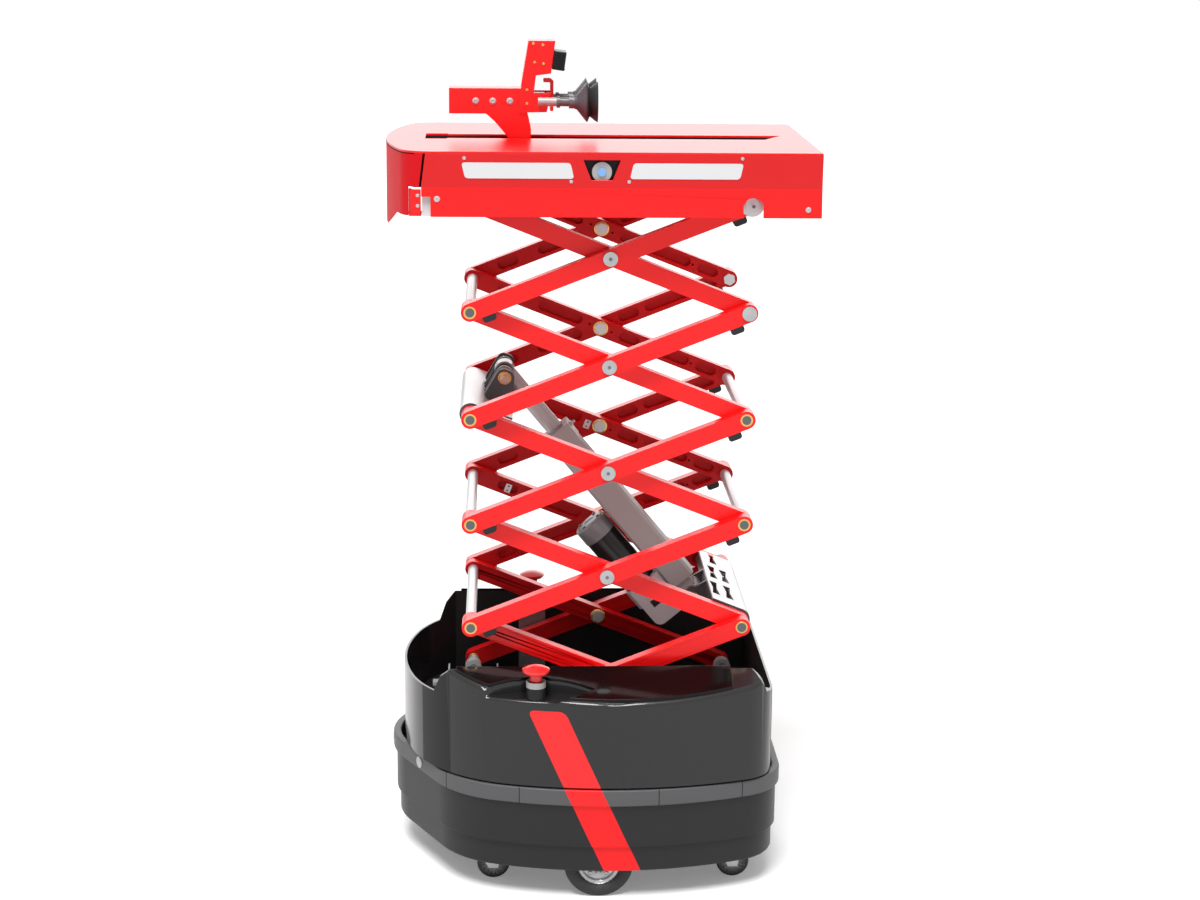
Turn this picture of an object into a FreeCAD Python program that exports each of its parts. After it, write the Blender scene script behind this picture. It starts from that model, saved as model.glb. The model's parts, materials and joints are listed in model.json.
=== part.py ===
import FreeCAD, Part
import math
import os
import Sketcher

# Autonomous mobile robot: a wheeled base, a five-stage scissor lift driven by an electric
# actuator, and a sheet-metal deck on which a suction gripper slides.  Millimetres, +Z up,
# origin on the floor under the middle of the whole machine, nose towards -X, near side -Y.

os.makedirs("parts", exist_ok=True)
doc = FreeCAD.newDocument("autonomous_mobile_robot")

# ---------------------------------------------------------------- driving sizes
SIZES = {
    # scissor lift
    "stage_count": 5, "arm_pitch": 430, "lift_angle": 21.39, "arm_width": 26, "arm_thick": 20,
    "arm_gap": 1, "inner_arm_face": 135.5, "hinge_x": 215, "hinge_height": 235,
    "pin_radius": 6.5, "bush_radius": 9, "tube_radius": 8, "running_fit": 0.05,
    "bolt_head_radius": 10.5, "bolt_head_thick": 4, "nut_radius": 9.5, "nut_thick": 5,
    "side_gap": 0.3, "pocket_width": 16, "pocket_depth": 12, "pocket_long": 74, "pocket_short": 34,
    "stop_length": 20, "stop_height": 9, "stop_inset": 24, "pin_stand_out": 0.8,
    "peep_radius": 1.8, "peep_near": 18, "peep_far": 153,
    # base plan outline, nose to tail: headings in degrees, radii in millimetres
    "nose_x": -308, "nose_radius": 146.25, "nose_heading": 63.06, "cheek_length": 118.12,
    "cheek_radius": 154.72, "cheek_heading": 18.89, "flank_radius": 533.54,
    "flank_heading": 22.31, "tail_radius": 86.22,
    "shell_nose_x": -290, "shell_nose_radius": 387.4, "shell_nose_heading": 73.88,
    "shell_cheek_radius": 213.4, "shell_cheek_heading": 14.89, "shell_flank_radius": 584.7,
    "shell_flank_heading": 19.48, "shell_tail_radius": 61.9,
    # base heights
    "skirt_bottom": 45, "skirt_step": 85, "bumper_bottom": 150, "bumper_top": 175,
    "shell_bottom": 178, "shoulder_height": 310, "nose_rim_height": 296, "tail_rim_height": 313,
    "pod_ridge_height": 341, "skirt_inset": 5, "step_inset": 10, "skirt_wall": 4,
    "bumper_depth": 12, "shell_wall": 3.5, "well_half_width": 200, "floor_height": 205,
    "floor_thick": 6, "chassis_height": 84, "chassis_thick": 6, "pod_start_x": -234,
    "cover_thick": 4,
    # emergency stops
    "stop_button_x": -90, "stop_button_y": 246.5, "stop_head_radius": 20, "stop_top": 358,
    "stop_collar_radius": 14, "stop_stem_radius": 9, "recess_floor": 308,
    "recess_length": 172, "recess_width": 50, "stop_travel": 5,
    # wheels
    "drive_x": 3.5, "drive_radius": 51, "drive_width": 28, "drive_face": 253, "hub_radius": 31,
    "motor_radius": 29, "motor_length": 105,
    "caster_radius": 24.5, "caster_width": 20, "caster_front_x": -152, "caster_rear_x": 209,
    "caster_y": 172, "caster_trail": 12,
    # lift carriers inside the base
    "rail_y": 118, "rail_width": 16, "rail_before": 65, "rail_after": 177, "rail_height": 6,
    "slider_half": 40, "slider_thick": 4, "foot_half": 14, "foot_before": 27, "foot_after": 20,
    "saddle_half": 13,
    "ring_radius": 13, "ring_width": 16, "flange_height": 24, "flange_thick": 2.5,
    "battery_length": 190, "battery_width": 200, "battery_height": 84,
    "post_x": -112, "post_length": 43, "post_depth": 17, "post_height": 118,
    # deck: heights are measured from its top face, which stands above the lift's top pivots
    "deck_rise": 76.88, "deck_half_width": 215.5, "deck_tail_x": 309.5, "deck_nose_x": -309.5,
    "deck_nose_radius": 640, "deck_corner_radius": 44, "sheet": 3,
    "skirt_start_x": -252, "skirt_depth": 91, "bend_depth": 50, "deck_flare": 2.5,
    "nose_drop": 28, "nose_seam": 3.3, "seam_lean": 6, "notch_length": 13, "notch_height": 28,
    "bracket_length": 18, "pad_height": 4,
    "slot_start_x": -252, "slot_end_x": 276, "slot_half_width": 29, "slot_wide_end": 38,
    "slot_wide_length": 32,
    "window_top_half": 26, "window_bottom_half": 15, "window_high": 11, "window_low": 39,
    "sensor_radius": 14, "lens_radius": 6,
    "lug_half": 17, "lug_thick": 4, "roller_y": 189, "channel_web_y": 197, "channel_depth": 14,
    "channel_before": 54.6, "channel_after": 140,
    "guide_thick": 10, "guide_depth": 22,
    "roller_radius": 11, "roller_width": 12, "roller_gap": 0.3,
    # gripper carriage: heights above the deck's top face
    "carriage_start_x": -217, "carriage_end_x": -103, "carriage_half": 22, "carriage_low": 35,
    "carriage_high": 72, "neck_start_x": -131, "neck_end_x": -97, "slide_block_length": 90,
    "mast_top": 141, "cup_y": 35, "cup_axis": 54, "cup_radius": 30,
    "cup_lip_x": 0, "pipe_radius": 6.5, "head_camera_width": 56, "head_camera_tilt": 8,
    # actuator, in the frame of the inner arms: distance from the arm's middle, height off it
    "low_pin_along": 157, "low_pin_off": -16, "high_pin_along": -183, "high_pin_off": 55,
    "clevis_pin_radius": 6, "cylinder_reach": 312, "cylinder_start": 26, "cylinder_half": 21,
    "cylinder_half_width": 24, "rod_radius": 13, "rod_start": 120,
    "bore_start": 17, "motor_body_radius": 26,
    "motor_offset": 50, "motor_end": 188, "gearbox_length": 34, "gearbox_half_width": 28,
    "gearbox_depth": 74, "gearbox_back": 7, "gearbox_corner": 12, "port_half": 6, "plate_thick": 3,
    "cut_out_length": 64, "cut_out_half": 6,
    "ear_thick": 4, "ear_inner": 14.5, "ear_outer": 34, "plate_half_width": 134,
}
sheet = doc.addObject("Spreadsheet::Sheet", "Sizes")
for row, (alias, value) in enumerate(SIZES.items(), start=1):
    sheet.set(f"A{row}", alias)
    sheet.set(f"B{row}", str(value))
    sheet.setAlias(f"B{row}", alias)
doc.recompute()


def size(alias):
    return float(sheet.get(alias))


def vec(x, y, z):
    return FreeCAD.Vector(x, y, z)


# ---------------------------------------------------------------- helpers
def bind(thing, rules):
    """Tie properties of a document object to expressions over the sheet."""
    for prop, rule in rules.items():
        thing.setExpression(prop, str(rule))
    return thing


def placed(thing, x=0, y=0, z=0):
    return bind(thing, {"Placement.Base.x": x, "Placement.Base.y": y, "Placement.Base.z": z})


def box(name, length, width, height, x, y, z):
    thing = bind(doc.addObject("Part::Box", name), {"Length": length, "Width": width, "Height": height})
    return placed(thing, x, y, z)


def rod(name, radius, length, x, y, z, axis="y"):
    """A cylinder that starts at the given point and runs along +axis."""
    thing = bind(doc.addObject("Part::Cylinder", name), {"Radius": radius, "Height": length})
    turn = {"x": (vec(0, 1, 0), 90), "y": (vec(1, 0, 0), -90), "z": (vec(0, 0, 1), 0)}[axis]
    thing.Placement = FreeCAD.Placement(vec(0, 0, 0), FreeCAD.Rotation(*turn))
    return placed(thing, x, y, z)


def cut(name, base, tool):
    thing = doc.addObject("Part::Cut", name)
    thing.Base = base
    thing.Tool = tool
    return thing


def fuse(name, things):
    thing = doc.addObject("Part::MultiFuse", name)
    thing.Shapes = things
    return thing


def mirror(name, source):
    thing = doc.addObject("Part::Mirroring", name)
    thing.Source = source
    thing.Normal = vec(0, 1, 0)
    return thing


def group(name, things):
    thing = doc.addObject("Part::Compound", name)
    thing.Links = things
    return thing


def solid(name, shape):
    """A piece whose form needs Part's own functions."""
    thing = doc.addObject("Part::Feature", name)
    thing.Shape = shape
    return thing


NODES = {}


def node(name, thing):
    """Make the thing a sub-part of the robot, under its own label."""
    thing.Label = name
    NODES[name] = thing
    return thing


def pair(name, near):
    """A sub-part made of a near piece and its mirror image."""
    return node(name, group(name + "_pair", [near, mirror(name + "_far", near)]))


def prism(points, normal, start, end):
    """A straight-sided solid: points (a, b) across the normal, from start to end along it."""
    place = {"x": lambda a, b: vec(start, a, b), "y": lambda a, b: vec(a, start, b),
             "z": lambda a, b: vec(a, b, start)}[normal]
    run = {"x": vec(1, 0, 0), "y": vec(0, 1, 0), "z": vec(0, 0, 1)}[normal] * (end - start)
    wire = Part.makePolygon([place(a, b) for a, b in points + points[:1]])
    return Part.Face(wire).extrude(run)


def block(x0, x1, y0, y1, z0, z1):
    return Part.makeBox(x1 - x0, y1 - y0, z1 - z0, vec(x0, y0, z0))


def bar(radius, start, end):
    run = end - start
    return Part.makeCylinder(radius, run.Length, start, run)


# ---------------------------------------------------------------- scissor arms
def arm_level(stage):
    """Height of the middle pivot of a stage."""
    return f"Sizes.hinge_height + {stage - 0.5} * Sizes.arm_pitch * sin(Sizes.lift_angle * 1 deg)"


ARM_MIDDLE_X = "Sizes.hinge_x - 0.5 * Sizes.arm_pitch * cos(Sizes.lift_angle * 1 deg)"


def tilt(thing, stage, lean):
    """Put a piece drawn in its arm's own frame at its place: lean +1 falls towards the tail."""
    thing.Placement = FreeCAD.Placement(vec(0, 0, 0), FreeCAD.Rotation(vec(0, 1, 0), 20))
    placed(thing, ARM_MIDDLE_X, 0, arm_level(stage))
    return bind(thing, {"Placement.Rotation.Angle": f"{lean} * Sizes.lift_angle * 1 deg"})


def origin_plane(body, role):
    return next(item for item in body.Origin.OriginFeatures if item.Role == role)


def new_sketch(body, name, offset):
    """A sketch across the machine, facing the near side, at the given distance from its middle."""
    sketch = body.newObject("Sketcher::SketchObject", name)
    sketch.AttachmentSupport = [(origin_plane(body, "XZ_Plane"), "")]
    sketch.MapMode = "FlatFace"
    sketch.setExpression("AttachmentOffset.Base.z", offset)
    return sketch


def add_slot(sketch, middle, length, width, tag):
    """A closed slot along X, held by three named dimensions."""
    half = float(length[0]) / 2
    radius = float(width[0]) / 2
    first = sketch.GeometryCount
    left = vec(middle[0] - half + radius, 0, 0)
    right = vec(middle[0] + half - radius, 0, 0)
    up = vec(0, 0, 1)
    sketch.addGeometry([
        Part.ArcOfCircle(Part.Circle(left, up, radius), math.pi / 2, 1.5 * math.pi),
        Part.LineSegment(left - vec(0, radius, 0), right - vec(0, radius, 0)),
        Part.ArcOfCircle(Part.Circle(right, up, radius), -math.pi / 2, math.pi / 2),
        Part.LineSegment(right + vec(0, radius, 0), left + vec(0, radius, 0)),
    ], False)
    a, b, c, d = range(first, first + 4)
    sketch.addConstraint([
        Sketcher.Constraint("Tangent", a, 2, b, 1), Sketcher.Constraint("Tangent", b, 2, c, 1),
        Sketcher.Constraint("Tangent", c, 2, d, 1), Sketcher.Constraint("Tangent", d, 2, a, 1),
        Sketcher.Constraint("PointOnObject", a, 3, -1), Sketcher.Constraint("PointOnObject", c, 3, -1),
        Sketcher.Constraint("DistanceX", a, 3, c, 3, 2 * (half - radius)),
        Sketcher.Constraint("DistanceX", -1, 1, a, 3, left.x),
        Sketcher.Constraint("Radius", a, radius),
    ])
    last = sketch.ConstraintCount
    for offset, label, rule in ((3, "reach", f"({length[1]}) - ({width[1]})"),
                                (2, "start", f"({middle[1]}) - 0.5 * (({length[1]}) - ({width[1]}))"),
                                (1, "radius", f"0.5 * ({width[1]})")):
        sketch.renameConstraint(last - offset, f"{tag}_{label}")
        sketch.setExpression(f"Constraints.{tag}_{label}", rule)


def add_hole(sketch, x, radius, tag):
    index = sketch.addGeometry(Part.Circle(vec(x[0], 0, 0), vec(0, 0, 1), radius[0]), False)
    sketch.addConstraint([
        Sketcher.Constraint("PointOnObject", index, 3, -1),
        Sketcher.Constraint("DistanceX", -1, 1, index, 3, x[0]),
        Sketcher.Constraint("Radius", index, radius[0]),
    ])
    last = sketch.ConstraintCount
    for offset, label, rule in ((2, "at", x[1]), (1, "radius", radius[1])):
        sketch.renameConstraint(last - offset, f"{tag}_{label}")
        sketch.setExpression(f"Constraints.{tag}_{label}", rule)


# The lightening pockets of an arm: where each one's middle lies, as a share of the arm's pitch,
# and whether it is a long or a short one.
POCKETS = ((-0.362, "short"), (-0.158, "long"), (0.112, "short"), (0.262, "long"), (0.415, "short"))


def arm(name, stage, lean, face, bores):
    """One near-side arm: a round-ended bar with three bores, pocketed on its inner face."""
    body = doc.addObject("PartDesign::Body", name)
    blank = new_sketch(body, name + "_outline", face)
    pitch, width = size("arm_pitch"), size("arm_width")
    add_slot(blank, (0, "0"), (pitch + width, "Sizes.arm_pitch + Sizes.arm_width"),
             (width, "Sizes.arm_width"), "bar")
    for x_share, radius, tag in ((-0.5, bores[0], "left"), (0, bores[1], "middle"), (0.5, bores[2], "right")):
        add_hole(blank, (x_share * pitch, f"{x_share} * Sizes.arm_pitch"),
                 (10, radius), f"{tag}_bore")
    pad = body.newObject("PartDesign::Pad", name + "_pad")
    pad.Profile = blank
    bind(pad, {"Length": "Sizes.arm_thick"})
    if stage > 1:
        shapes = new_sketch(body, name + "_pockets", face)
        for index, (share, kind) in enumerate(POCKETS):
            add_slot(shapes, (share * pitch, f"{share} * Sizes.arm_pitch"),
                     (size(f"pocket_{kind}"), f"Sizes.pocket_{kind}"),
                     (size("pocket_width"), "Sizes.pocket_width"), f"pocket{index}")
        for index, (side, word) in enumerate(((-1, "near"), (1, "near"), (1, "far"))):
            add_hole(shapes, (side * size(f"peep_{word}"), f"{side} * Sizes.peep_{word}"),
                     (size("peep_radius"), "Sizes.peep_radius"), f"peep{index}")
        pocket = body.newObject("PartDesign::Pocket", name + "_pocket")
        pocket.Profile = shapes
        pocket.Reversed = True
        bind(pocket, {"Length": "Sizes.pocket_depth"})
    return tilt(body, stage, lean)


LOOSE = "Sizes.pin_radius + Sizes.running_fit"
INNER_FACE = "Sizes.inner_arm_face"
OUTER_FACE = "(Sizes.inner_arm_face + Sizes.arm_thick + Sizes.arm_gap)"
OUTER_SKIN = "(Sizes.inner_arm_face + 2 * Sizes.arm_thick + Sizes.arm_gap)"
STAGES = int(size("stage_count"))

for stage in range(1, STAGES + 1):
    tight = "Sizes.pin_radius"
    inner_bores = [LOOSE if stage == STAGES else tight, tight, LOOSE if stage == 1 else tight]
    near = arm(f"inner_arm_{stage}", stage, 1, INNER_FACE, inner_bores)
    pair(f"inner_arms_{stage}", near)
    bush = "Sizes.bush_radius"
    near = arm(f"outer_arm_{stage}", stage, -1, OUTER_FACE, [bush, LOOSE, bush])
    pair(f"outer_arms_{stage}", near)


def bush_ring(name, x, stage):
    """A brass bush in one end of a near outer arm."""
    outside = rod(name + "_outside", "Sizes.bush_radius", "Sizes.arm_thick", x, f"-{OUTER_SKIN}", 0)
    inside = rod(name + "_inside", LOOSE, "Sizes.arm_thick", x, f"-{OUTER_SKIN}", 0)
    return tilt(cut(name, outside, inside), stage, -1)


def rubber_stop(name, x, stage):
    """A rubber foot with a rounded sole under a near outer arm."""
    foot = box(name + "_foot", "Sizes.stop_length", "Sizes.arm_thick", "Sizes.stop_height", x,
               f"-{OUTER_SKIN}", "-0.5 * Sizes.arm_width - Sizes.stop_height")
    rounded = doc.addObject("Part::Fillet", name)
    rounded.Base = foot
    doc.recompute()
    sole = [i for i, edge in enumerate(foot.Shape.Edges, start=1)
            if abs(edge.tangentAt(edge.FirstParameter).y) > 0.9 and edge.CenterOfMass.z < foot.Shape.CenterOfMass.z]
    rounded.Edges = [(index, 0.5 * size("stop_height"), 0.5 * size("stop_height")) for index in sole]
    return tilt(rounded, stage, -1)


END = "0.5 * Sizes.arm_pitch"
for stage in range(1, STAGES + 1):
    fittings = [bush_ring(f"bush_left_{stage}", f"-{END}", stage), bush_ring(f"bush_right_{stage}", END, stage)]
    if stage > 1:
        fittings.append(rubber_stop(f"stop_left_{stage}", f"-{END} + Sizes.stop_inset - 0.5 * Sizes.stop_length", stage))
        fittings.append(rubber_stop(f"stop_right_{stage}", f"{END} - Sizes.stop_inset - 0.5 * Sizes.stop_length", stage))
    near = group(f"arm_fittings_near_{stage}", fittings)
    pair(f"arm_fittings_{stage}", near)


def cross_tube(name, x, stage):
    """A tube between the inner arms, turned down at both ends into the pivot pins."""
    body = rod(name + "_tube", "Sizes.tube_radius", f"2 * {INNER_FACE}", x, f"-{INNER_FACE}", 0)
    reach = f"({OUTER_SKIN} + Sizes.pin_stand_out)"
    pin = rod(name + "_pin", "Sizes.pin_radius", f"2 * {reach}", x, f"-{reach}", 0)
    return tilt(fuse(name, [body, pin]), stage, 1)


def pivot_bolt(name, x, stage):
    """A near-side bolt through both arms, its head outside and a hexagon nut inside."""
    reach = f"{OUTER_SKIN} + Sizes.side_gap"
    shank = rod(name + "_shank", "Sizes.pin_radius", f"{reach} - {INNER_FACE} + Sizes.nut_thick", x,
                f"-({reach})", 0)
    head = rod(name + "_head", "Sizes.bolt_head_radius", "Sizes.bolt_head_thick", x,
               f"-({reach}) - Sizes.bolt_head_thick", 0)
    nut = doc.addObject("Part::Prism", name + "_nut")
    nut.Polygon = 6
    bind(nut, {"Circumradius": "Sizes.nut_radius", "Height": "Sizes.nut_thick"})
    nut.Placement = FreeCAD.Placement(vec(0, 0, 0), FreeCAD.Rotation(vec(1, 0, 0), -90))
    placed(nut, x, f"-{INNER_FACE}", 0)
    return tilt(fuse(name, [shank, head, nut]), stage, 1)


for stage in range(1, STAGES + 1):
    bolts = [pivot_bolt(f"middle_bolt_{stage}", "0", stage)]
    if stage == STAGES:
        bolts.append(pivot_bolt("last_bolt", END, stage))
    near = group(f"bolts_near_{stage}", bolts)
    pieces = [near, mirror(f"bolts_far_{stage}", near)]
    if stage < STAGES:
        pieces.append(cross_tube(f"left_tube_{stage}", f"-{END}", stage))
    if 1 < stage < STAGES:
        pieces.append(cross_tube(f"right_tube_{stage}", END, stage))
    node(f"pivot_shafts_{stage}", group(f"shafts_{stage}", pieces))


# ---------------------------------------------------------------- base outline
def plan_outline(nose, curves, height):
    """A closed plan of arcs, mirrored about the middle: nose, cheek, flank, tail, straight stern.

    curves lists (radius, heading at its end, straight run after it) from the nose round to the tail.
    """
    points = [vec(nose, 0, height)]
    edges = []
    heading = 90.0
    for radius, end, straight in curves:
        first, mid, last = (math.radians(a) for a in (heading, (heading + end) / 2, end))
        start = points[-1]

        def along(angle):
            return start + vec(radius * (math.sin(first) - math.sin(angle)),
                               radius * (math.cos(angle) - math.cos(first)), 0)
        edges.append(Part.Arc(start, along(mid), along(last)).toShape())
        points.append(along(last))
        if straight > 0:
            step = points[-1] + vec(math.cos(last), math.sin(last), 0) * straight
            edges.append(Part.LineSegment(points[-1], step).toShape())
            points.append(step)
        heading = end
    other = [edge.mirror(vec(0, 0, 0), vec(0, 1, 0)) for edge in edges]
    stern = points[-1]
    edges.append(Part.LineSegment(stern, vec(stern.x, -stern.y, stern.z)).toShape())
    return Part.Wire(Part.__sortEdges__(edges + other))


def base_outline(inset, height):
    curves = [(size("nose_radius") - inset, size("nose_heading"), size("cheek_length")),
              (size("cheek_radius") - inset, size("cheek_heading"), 0),
              (size("flank_radius") - inset, -size("flank_heading"), 0),
              (size("tail_radius") - inset, -90, 0)]
    return plan_outline(size("nose_x") + inset, curves, height)


def shell_outline(inset, height):
    curves = [(size("shell_nose_radius") - inset, size("shell_nose_heading"), 0),
              (size("shell_cheek_radius") - inset, size("shell_cheek_heading"), 0),
              (size("shell_flank_radius") - inset, -size("shell_flank_heading"), 0),
              (size("shell_tail_radius") - inset, -90, 0)]
    return plan_outline(size("shell_nose_x") + inset, curves, height)


def slab(outline, inset, low, high):
    return Part.Face(outline(inset, low)).extrude(vec(0, 0, high - low))


def ring(outline, outer, inner, low, high):
    return slab(outline, outer, low, high).cut(slab(outline, inner, low, high))


# ---------------------------------------------------------------- base shells and frame
def lower_skirt():
    """Two stepped tiers of thin wall with a chamfered foot."""
    wall, low, step, high = size("skirt_wall"), size("skirt_bottom"), size("skirt_step"), size("bumper_bottom")
    first, second = size("skirt_inset"), size("step_inset")
    foot = low + wall
    upper = ring(base_outline, first, second + wall, step, high)
    lower = ring(base_outline, second, second + wall, foot, step)
    toe = Part.makeLoft([base_outline(second + wall / 2, low), base_outline(second, foot)], True)
    return upper.fuse([lower, toe.cut(slab(base_outline, second + wall, low, foot))]).removeSplitter()


node("lower_skirt", solid("lower_skirt_shell", lower_skirt()))
node("bumper", solid("bumper_ring", ring(base_outline, 0, size("bumper_depth"), size("bumper_bottom"),
                                         size("bumper_top"))))

BOARD_FACE = size("step_inset") + size("skirt_wall")
DRIVE_Y = size("drive_face") - size("drive_width") / 2


def frame_plates():
    """The lower chassis plate, pierced for the drive wheels, the upper floor, and four posts."""
    low, thick = size("chassis_height"), size("chassis_thick")
    lower = slab(base_outline, BOARD_FACE, low, low + thick)
    room = size("drive_radius") + 6
    gap = size("drive_width") / 2 + 5
    for side in (-1, 1):
        lower = lower.cut(block(size("drive_x") - room, size("drive_x") + room, side * DRIVE_Y - gap,
                                side * DRIVE_Y + gap, low - 1, low + thick + 1))
    top = size("floor_height")
    floor = slab(shell_outline, size("shell_wall"), top - size("floor_thick"), top)
    posts = [Part.makeCylinder(7, top - size("floor_thick") - low - thick, vec(x, y, low + thick))
             for x in (-180, 180) for y in (-120, 120)]
    return Part.makeCompound([lower, floor] + posts)


node("frame_plates", solid("frame_plates_set", frame_plates()))


def lens(x, y, length, width, low, high):
    """A boat-shaped prism: two arcs of the same radius that meet in a point at each end."""
    radius = (length ** 2 + width ** 2) / (4 * width)
    reach = radius - width / 2
    left = Part.makeCylinder(radius, high - low, vec(x, y - reach, low))
    return left.common(Part.makeCylinder(radius, high - low, vec(x, y + reach, low)))


def above_pods(drop):
    """All the space over the pods' crowned tops, lowered by drop, in the machine's cross-section."""
    half, edge = size("well_half_width"), 400
    ridge, shoulder = size("pod_ridge_height") - drop, size("shoulder_height") - drop
    flank = size("well_half_width") + 74
    sky = 600
    pieces = []
    for side in (-1, 1):
        roof = [(side * 0, ridge + 2), (side * half, ridge), (side * flank, shoulder), (side * edge, shoulder - 6),
                (side * edge, sky), (side * 0, sky)]
        pieces.append(prism(roof, "x", -edge, edge))
    return pieces[0].fuse(pieces[1])


def beyond_rims(drop):
    """The space over the nose rim and the curved tail rim, in side view."""
    start, rim, sky = size("pod_start_x"), size("nose_rim_height") - drop, 600
    ridge = size("pod_ridge_height") + 4
    nose = prism([(-400, rim), (start - 6, rim), (start + 4, rim + 26), (start + 26, ridge), (start + 26, sky),
                  (-400, sky)], "y", -400, 400)
    tail_x, tail = size("hinge_x") + 27, size("tail_rim_height") - drop
    curve = Part.Arc(vec(tail_x - 60, -400, ridge), vec(tail_x - 12, -400, ridge - 9),
                     vec(tail_x + 8, -400, tail - 6)).toShape()
    corners = [vec(tail_x + 8, -400, tail - 6), vec(400, -400, tail - 40), vec(400, -400, sky),
               vec(tail_x - 60, -400, sky), vec(tail_x - 60, -400, ridge)]
    wire = Part.Wire([curve, Part.makePolygon(corners)])
    return nose.fuse(Part.Face(wire).extrude(vec(0, 800, 0)))


def well():
    """The open well between the pods, as deep as the floor and open at the top."""
    half = size("well_half_width")
    space = slab(shell_outline, size("shell_wall"), size("floor_height"), 600)
    return space.common(block(-400, 400, -half, half, 0, 600))


def pod_recesses(low):
    """The pointed hollows round the emergency stops, down to the given height."""
    x, y = size("stop_button_x"), size("stop_button_y")
    near = lens(x, -y, size("recess_length"), size("recess_width"), low, 500)
    return near.fuse(near.mirror(vec(0, 0, 0), vec(0, 1, 0)))


def upper_shell():
    """The body shell: solid pods along both flanks, thin walls round the nose and the tail."""
    wall = size("shell_wall")
    low, floor = size("shell_bottom"), size("floor_height")
    shell = slab(shell_outline, 0, low, size("pod_ridge_height") + 10)
    roofs = [above_pods(size("cover_thick")), beyond_rims(0)]
    hollows = [slab(shell_outline, wall, low, floor), well(), pod_recesses(size("recess_floor"))]
    return shell.cut(roofs + hollows).removeSplitter()


def pod_covers():
    """A glossy cover let into each pod's top, open round the emergency stop."""
    shape = slab(shell_outline, 6, size("floor_height"), size("pod_ridge_height") + 10)
    start, end = size("pod_start_x") + 28, size("hinge_x") - 18
    half = size("well_half_width")
    strips = block(start, end, half, 400, 0, 600).fuse(block(start, end, -400, -half, 0, 600))
    shape = shape.common(strips).common(above_pods(size("cover_thick")))
    return shape.cut([above_pods(0), pod_recesses(0)]).removeSplitter()


node("upper_shell", solid("upper_shell_body", upper_shell()))
node("pod_covers", solid("pod_covers_pair", pod_covers()))

STOP_X, STOP_Y = "Sizes.stop_button_x", "Sizes.stop_button_y"
collar_height = "Sizes.stop_top - 24 - Sizes.recess_floor"
collar = cut("stop_collar_near",
             rod("stop_collar_outside", "Sizes.stop_collar_radius", collar_height, STOP_X, f"-{STOP_Y}",
                 "Sizes.recess_floor", "z"),
             rod("stop_collar_inside", "Sizes.stop_stem_radius + Sizes.running_fit", collar_height, STOP_X,
                 f"-{STOP_Y}", "Sizes.recess_floor", "z"))
pair("stop_collars", collar)


def stop_button(side):
    """A mushroom head on a stem that runs in the collar."""
    top, head, stem = size("stop_top"), size("stop_head_radius"), size("stop_stem_radius")
    travel = size("stop_travel")
    low = size("recess_floor") + travel + 1
    flat = top - 12
    rise = top - flat - 6
    crown = (head ** 2 + rise ** 2) / (2 * rise)
    half_turn = math.asin(head / crown) / 2
    brow = vec(crown * math.sin(half_turn), 0, top - crown * (1 - math.cos(half_turn)))
    profile = Part.Wire([
        Part.makePolygon([vec(0, 0, low), vec(stem, 0, low), vec(stem, 0, flat - 2), vec(head - 3, 0, flat),
                          vec(head, 0, flat + 3), vec(head, 0, flat + 6)]),
        Part.Arc(vec(head, 0, flat + 6), brow, vec(0, 0, top)).toShape(),
        Part.makePolygon([vec(0, 0, top), vec(0, 0, low)]),
    ])
    shape = Part.Face(profile).revolve(vec(0, 0, 0), vec(0, 0, 1), 360)
    shape.translate(vec(size("stop_button_x"), side * size("stop_button_y"), 0))
    return shape


for side, word in ((-1, "near"), (1, "far")):
    node(f"stop_button_{word}", solid(f"stop_button_{word}_head", stop_button(side)))

# ---------------------------------------------------------------- inside the base
post = box("sensor_post_body", "Sizes.post_length", "Sizes.post_depth", "Sizes.post_height", "Sizes.post_x",
           "Sizes.well_half_width - Sizes.post_depth", "Sizes.floor_height")
node("sensor_post", post)

battery = box("battery_body", "Sizes.battery_length", "Sizes.battery_width", "Sizes.battery_height",
              "-0.5 * Sizes.battery_length", "-0.5 * Sizes.battery_width",
              "Sizes.chassis_height + Sizes.chassis_thick")
node("battery_pack", battery)

motor = rod("drive_motor_near_body", "Sizes.motor_radius", "Sizes.motor_length", "Sizes.drive_x",
            "-(Sizes.drive_face - Sizes.drive_width - 4)", "Sizes.drive_radius")
cradle = box("drive_motor_cradle", 44, "Sizes.motor_length - 20", "Sizes.chassis_height - Sizes.drive_radius",
             "Sizes.drive_x - 22", "-(Sizes.drive_face - Sizes.drive_width - 14)", "Sizes.drive_radius")
shaft = rod("drive_shaft_near", 8, "Sizes.drive_width + 4", "Sizes.drive_x", "-Sizes.drive_face + 1",
            "Sizes.drive_radius")
pair("drive_motors", fuse("drive_motor_near", [motor, cradle, shaft]))


def drive_wheel(side):
    """A rubber tyre on a dished hub, bored for the motor's shaft."""
    radius, width, hub = size("drive_radius"), size("drive_width"), size("hub_radius")
    face = size("drive_face")
    start, out = vec(size("drive_x"), side * face, radius), vec(0, -side, 0)
    tyre = Part.makeCylinder(radius, width, start, out)
    tyre = tyre.makeFillet(4, [e for e in tyre.Edges if e.Closed])
    rim = Part.makeCylinder(hub, width, start, out)
    bore = Part.makeCylinder(8 + size("running_fit"), width, start, out)
    dish = Part.makeCone(hub - 3, hub - 8, 5, start, out)
    tyre = tyre.cut(rim)
    return Part.makeCompound([tyre, rim.cut([bore, dish])])


for side, word in ((-1, "near"), (1, "far")):
    node(f"drive_wheel_{word}", solid(f"drive_wheel_{word}_set", drive_wheel(side)))


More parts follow.
